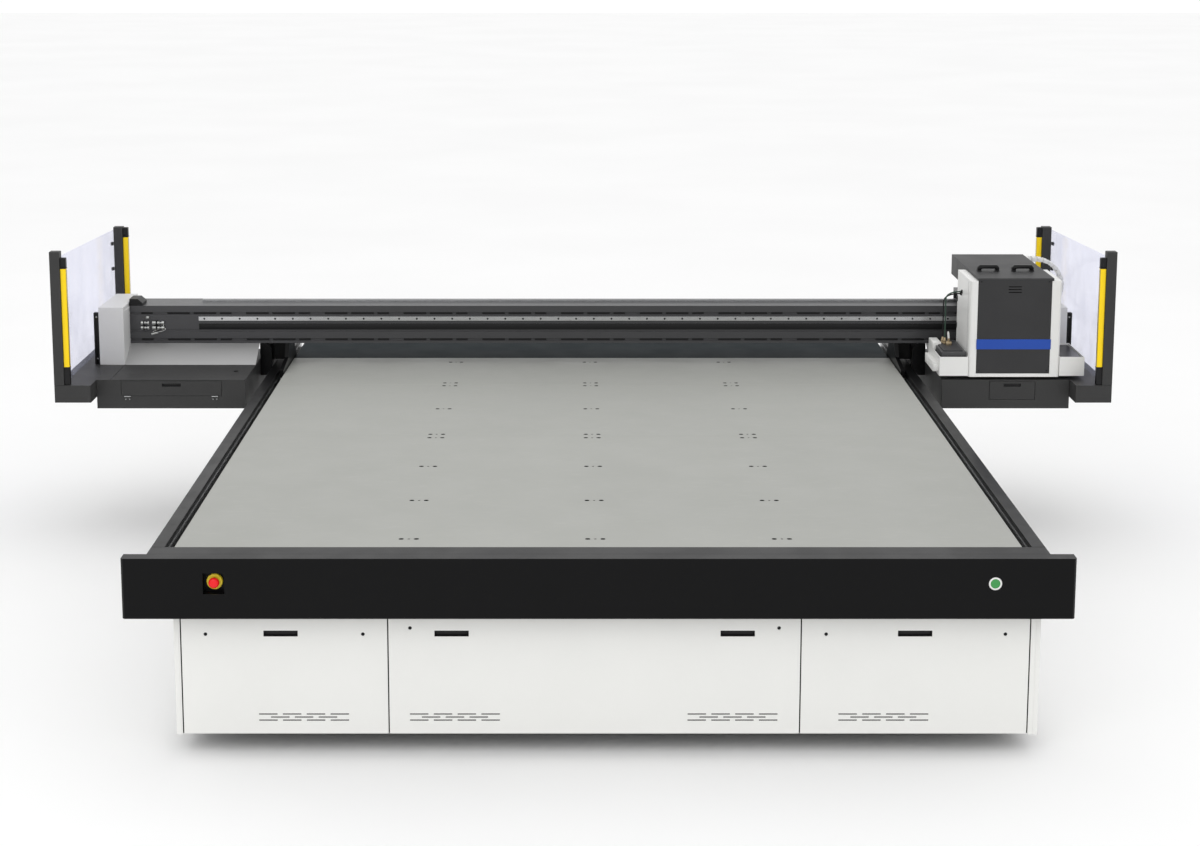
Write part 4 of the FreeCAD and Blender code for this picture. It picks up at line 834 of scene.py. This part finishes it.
def make_chain_run(low, high, depth, tall, middle_y):
    """The links that lie in the tray."""
    run = Piece("energy_chain_links")
    end = 0.02
    count = int((high.x - low.x) / LINK_PITCH)
    step = (high.x - low.x - 2 * end) / (count - 1)
    for index in range(count):
        middle = Vector((low.x + end + index * step, middle_y, (low.z + high.z) / 2))
        add_link(run, middle, Vector((1, 0, 0)), depth, tall, step * 0.94)
    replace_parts(run.finish("gantry", "white_plastic"), "energy_chain_run")


def make_chain_loop(depth, tall, middle_y):
    """The links round the turn and back to the carriage."""
    low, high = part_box("energy_chain_loop")
    loop = Piece("energy_chain_turn")
    outer = (high.z - low.z) / 2
    radius = outer - tall / 2
    center = Vector((high.x - outer, middle_y, (low.z + high.z) / 2))
    turns = 14
    for index in range(turns):
        angle = -math.pi / 2 + math.pi * (index + 0.5) / turns
        offset = Vector((math.cos(angle), 0, math.sin(angle))) * (radius - 0.0015)
        along = Vector((-math.sin(angle), 0, math.cos(angle)))
        add_link(loop, center + offset, along, depth, tall - 0.003, math.pi * radius / turns * 0.94)
    flat = center.x - low.x
    count = int(flat / LINK_PITCH)
    for index in range(count):
        x = center.x - (index + 0.5) * flat / count
        middle = Vector((x, middle_y, high.z - tall / 2))
        add_link(loop, middle, Vector((-1, 0, 0)), depth, tall, flat / count * 0.9)
    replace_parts(loop.finish("carriage", "white_plastic"), "energy_chain_loop")


# ---------------------------------------------------------------- carriage details

HOSE_SIZE = 0.007
# The lamp's hoses, in metres: depth is from the bed's front edge and height from its top.
HOSES = (
    {"name": "lamp_hose_front", "drop_x": 1.855, "depth": 3.040, "height": 0.440, "length": 0.332},
    {"name": "lamp_hose_back", "drop_x": 1.848, "depth": 3.062, "height": 0.426, "length": 0.325},
)


def make_cover_handles():
    """Replaces the plain handles with rounded bridge handles on flanged feet."""
    low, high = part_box("cover_handles")
    handles = Piece("bridge_handles")
    length = 0.112
    foot, foot_rise = 0.021, 0.006
    slope, thick = 0.028, 0.019
    half_width = 0.015
    rise = high.z - low.z
    middle = (low.y + high.y) / 2
    for left in (low.x, high.x - length):
        right = left + length
        for start in (left, right - foot):
            handles.prism([(start, low.y), (start + foot, low.y), (start + foot, high.y), (start, high.y)],
                          low.z, low.z + foot_rise, "z", 0.0025)
            for y in (low.y + foot_rise, high.y - foot_rise):
                screw(handles, Vector((start + foot / 2, y, low.z + foot_rise)), (0, 0, 1), 0.0035, 0.0008)
        arch = [(left + 0.001, low.z + 0.004), (left, low.z + rise * 0.6), (left + 0.012, high.z),
                (right - 0.012, high.z), (right, low.z + rise * 0.6), (right - 0.001, low.z + 0.004),
                (right - 0.02, low.z + 0.004), (right - foot, low.z + rise * 0.4),
                (right - slope, high.z - thick), (left + slope, high.z - thick),
                (left + foot, low.z + rise * 0.4), (left + 0.02, low.z + 0.004)]
        handles.prism(arch, middle - half_width, middle + half_width, "y", 0.005)
    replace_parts(handles.finish("cover", "black_plastic"), "cover_handles")


def make_cover_trim():
    """Near-black strips in the front cover's slots, painted shade inside them, and its four screws in the
    same near-black.
    """
    low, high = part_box("carriage_front_cover")
    slot_shade = Piece("front_cover_slot_shade")
    middle = (low.x + high.x) / 2
    half = 0.0325
    first, pitch = 0.042, 0.014
    inset = 0.014
    for row in range(3):
        slot_low = high.z - first - row * pitch
        slot_shade.box(Vector((middle - half, low.y + 0.0012, slot_low + 0.0003)),
                 Vector((middle + half, low.y + 0.0048, slot_low + 0.0037)), 0.0003)
    for x in (low.x + inset, high.x - inset):
        for z in (low.z + inset, high.z - inset):
            screw(slot_shade, Vector((x, low.y, z)), (0, -1, 0), 0.0035, 0.0005)
    slot_shade.finish("head", "black_plastic", PAINTED_SHADE_BLACK)


def make_housing_details():
    """Hose grommets, a door seam, hinges and a latch on the housing's left side."""
    low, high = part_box("carriage_housing")
    left = low.x
    dark = Piece("housing_trim")
    for hose in HOSES:
        grommet = Vector((left + 0.0005, BED_Y + hose["depth"], BED_Z + hose["height"]))
        dark.turned(grommet, (-1, 0, 0), [(0.010, 0), (0.010, 0.003), (0.0085, 0.006), (0.0055, 0.009),
                                          (0.0038, 0.009)], 24)
    seam, seam_width = 0.052, 0.0015
    dark.box(Vector((left - 0.0004, low.y + seam, low.z + 0.02)),
             Vector((left + 0.0006, low.y + seam + seam_width, high.z - 0.012)), 0.0002)
    for z in (0.06, 0.2, 0.34):
        hinge = Vector((left, high.y - 0.008, low.z + z))
        dark.box(hinge - Vector((0.004, 0.006, 0.014)), hinge + Vector((0.001, 0.006, 0.014)), 0.0012)
    dark.finish("head", "black_plastic")
    latch = Piece("housing_latch")
    spot = Vector((left, low.y + 0.11, low.z + 0.1))
    latch.box(spot - Vector((0.0035, 0.006, 0.018)), spot + Vector((0.0005, 0.006, 0.018)), 0.0015)
    latch.finish("head", "white_plastic")


def make_hoses():
    """The two hoses from the housing's left side down to the left lamp."""
    start_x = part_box("carriage_housing")[0].x
    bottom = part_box("uv_lamps")[1].z
    for hose, material in zip(HOSES, (GREEN_HOSE, LOOKS["black_plastic"])):
        name = hose["name"]
        drop_x = hose["drop_x"]
        y = BED_Y + hose["depth"]
        top = BED_Z + hose["height"]
        bend = top - (start_x - drop_x)
        points = [(start_x, y, top), (drop_x, y, top), (drop_x, y, bend), (drop_x, y, bottom)]
        thing = hose_curve(name, points, material)
        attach(thing, "head")
        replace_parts(thing, "lamp_hoses")


def hose_curve(name, points, material):
    """A round curve that leaves and arrives straight, and bends in between."""
    data = bpy.data.curves.new(name, "CURVE")
    data.dimensions = "3D"
    data.bevel_depth = HOSE_SIZE / 2
    data.bevel_resolution = 5
    data.use_fill_caps = True
    spline = data.splines.new("NURBS")
    spline.points.add(len(points) - 1)
    for spot, point in zip(spline.points, points):
        spot.co = (*point, 1)
    spline.order_u = 3
    spline.use_endpoint_u = True
    spline.resolution_u = 16
    data.materials.append(material)
    thing = bpy.data.objects.new(name, data)
    bpy.context.scene.collection.objects.link(thing)
    return thing


def make_lamp_details():
    """The left lamp's cooling ribs, the white ribbed carrier beside it, and the hose fittings."""
    skirt_low, skirt_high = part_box("carriage_skirts")
    lamp_low, lamp_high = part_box("uv_lamps")
    make_lamp_ribs(lamp_low, lamp_high.z)
    make_lamp_carrier(skirt_low, skirt_high)
    make_hose_fittings(lamp_high.z)


def make_lamp_ribs(lamp_low, top):
    """Cooling ribs across the lamp's top."""
    ribs = Piece("lamp_ribs")
    pitch = 0.028
    left, right = 0.012, 0.112
    for index in range(9):
        y = lamp_low.y + 0.03 + index * pitch
        ribs.box(Vector((lamp_low.x + left, y, top - 0.001)),
                 Vector((lamp_low.x + right, y + 0.012, top + 0.006)), 0.0012)
    ribs.finish("head", "anodised_black")


def make_lamp_carrier(low, high):
    """A white block and a ribbed rail on the outside of the left skirt."""
    carrier = Piece("lamp_carrier")
    left = low.x
    pitch = 0.033
    carrier.box(Vector((left - 0.002, low.y + 0.2, high.z - 0.004)),
                Vector((left + 0.04, high.y - 0.02, high.z + 0.034)), 0.002)
    rail = Vector((left - 0.02, low.y + 0.035, low.z + 0.018))
    carrier.box(rail, Vector((left + 0.001, high.y - 0.03, low.z + 0.05)), 0.003)
    for index in range(8):
        y = low.y + 0.05 + index * pitch
        carrier.box(Vector((left - 0.026, y, low.z + 0.014)), Vector((left, y + 0.012, low.z + 0.062)), 0.002)
    carrier.finish("head", "white_plastic")


def make_hose_fittings(top):
    """Brass fittings where the hoses meet the lamp, and a plug on a brass block."""
    brass = Piece("hose_fittings")
    for hose in HOSES:
        spot = Vector((hose["drop_x"], BED_Y + hose["depth"], top))
        brass.turned(spot, (0, 0, 1), [(0.011, 0), (0.011, 0.009), (0.0085, 0.011), (0.0085, 0.022),
                                       (0.0065, 0.024), (0.0055, 0.034), (0.0038, 0.036)], 24)
    block = Vector((1.868, BED_Y + 3.0, top))
    brass.box(block - Vector((0.014, 0.014, 0.001)), block + Vector((0.014, 0.014, 0.024)), 0.002)
    brass.rod(block + Vector((0, 0, 0.02)), (0, 0, 1), 0.006, 0.02)
    brass.finish("head", "rail_steel", BRASS)
    plug = Piece("lamp_plug")
    plug.turned(block + Vector((0, 0, 0.04)), (-0.1, 0, 1), [(0.0055, 0), (0.0055, 0.024), (0.004, 0.03),
                                                            (0.002, 0.036)], 20)
    plug.finish("head", "white_plastic")


# ---------------------------------------------------------------- floor, light and camera

# Each area light: place, aim, edge and power.
LIGHTS = {
    "key": ((-3.5, -8.5, 5.5), (0, 0.5, 0.7), 5.0, 85),
    "fill": ((5.0, -7.0, 5.0), (0, -0.5, 0.6), 5.0, 22),
    "top": ((0.0, 1.0, 8.0), (0, 0, 0.8), 7.0, 35),
}
WORLD_STRENGTH = 1.02
FLOOR_REACH = 60
CAMERA_PLACE = (-0.0355, -9.7765, 3.1414)
CAMERA_TILT = 80.385
CAMERA_LENS, CAMERA_SHIFT = 64.64, (0.02, -0.12)


def make_stage():
    """A pale floor, soft studio light and the camera."""
    make_floor()
    world = bpy.data.worlds.new("studio")
    bpy.context.scene.world = world
    world.use_nodes = True
    background = world.node_tree.nodes["Background"]
    background.inputs["Color"].default_value = (1, 1, 1, 1)
    background.inputs["Strength"].default_value = WORLD_STRENGTH
    for name, (spot, aim, size, power) in LIGHTS.items():
        light = bpy.data.lights.new(name, "AREA")
        light.shape = "SQUARE"
        light.size = size
        light.energy = power
        thing = bpy.data.objects.new(name, light)
        bpy.context.scene.collection.objects.link(thing)
        thing.location = spot
        thing.rotation_euler = (Vector(aim) - Vector(spot)).to_track_quat("-Z", "Y").to_euler()
    make_camera()
    bpy.context.scene.view_settings.view_transform = "Standard"


def make_floor():
    """A wide pale floor, very slightly uneven in tone."""
    reach = FLOOR_REACH
    data = bpy.data.meshes.new("studio_floor")
    data.from_pydata([(-reach, -reach, 0), (reach, -reach, 0), (reach, reach, 0), (-reach, reach, 0)],
                     [], [(0, 1, 2, 3)])
    floor = bpy.data.objects.new("studio_floor", data)
    bpy.context.scene.collection.objects.link(floor)
    look = Look("studio_floor", 0.8, 0, 0.1)
    tone = look.remap(look.noise(0.4, 3), 0, 1)
    look.color(look.mix(tone, (0.93, 0.93, 0.93, 1), (0.95, 0.95, 0.95, 1)))
    data.materials.append(look.material)


def make_camera():
    """The camera in front of the apron, above the bed and tipped down a little."""
    camera = bpy.data.cameras.new("camera")
    camera.sensor_fit = "HORIZONTAL"
    camera.sensor_width = 36
    camera.lens = CAMERA_LENS
    camera.shift_x, camera.shift_y = CAMERA_SHIFT
    camera.clip_end = 300
    thing = bpy.data.objects.new("camera", camera)
    bpy.context.scene.collection.objects.link(thing)
    thing.location = CAMERA_PLACE
    thing.rotation_euler = (math.radians(CAMERA_TILT), 0, 0)
    bpy.context.scene.camera = thing


make_stage()
make_hoses()
dress_nodes()
make_panel_fittings()
make_frame_screws()
make_bed_seams()
make_suction_hole_shade()
make_panel_gap_shade()
make_vent_shade()
make_station_grips()
make_beam_fittings()
make_valves()
make_column_strips()
make_hinges()
make_station_trim()
make_curtain_details()
make_window_trim()
make_chain()
make_cover_handles()
make_cover_trim()
make_housing_details()
make_lamp_details()
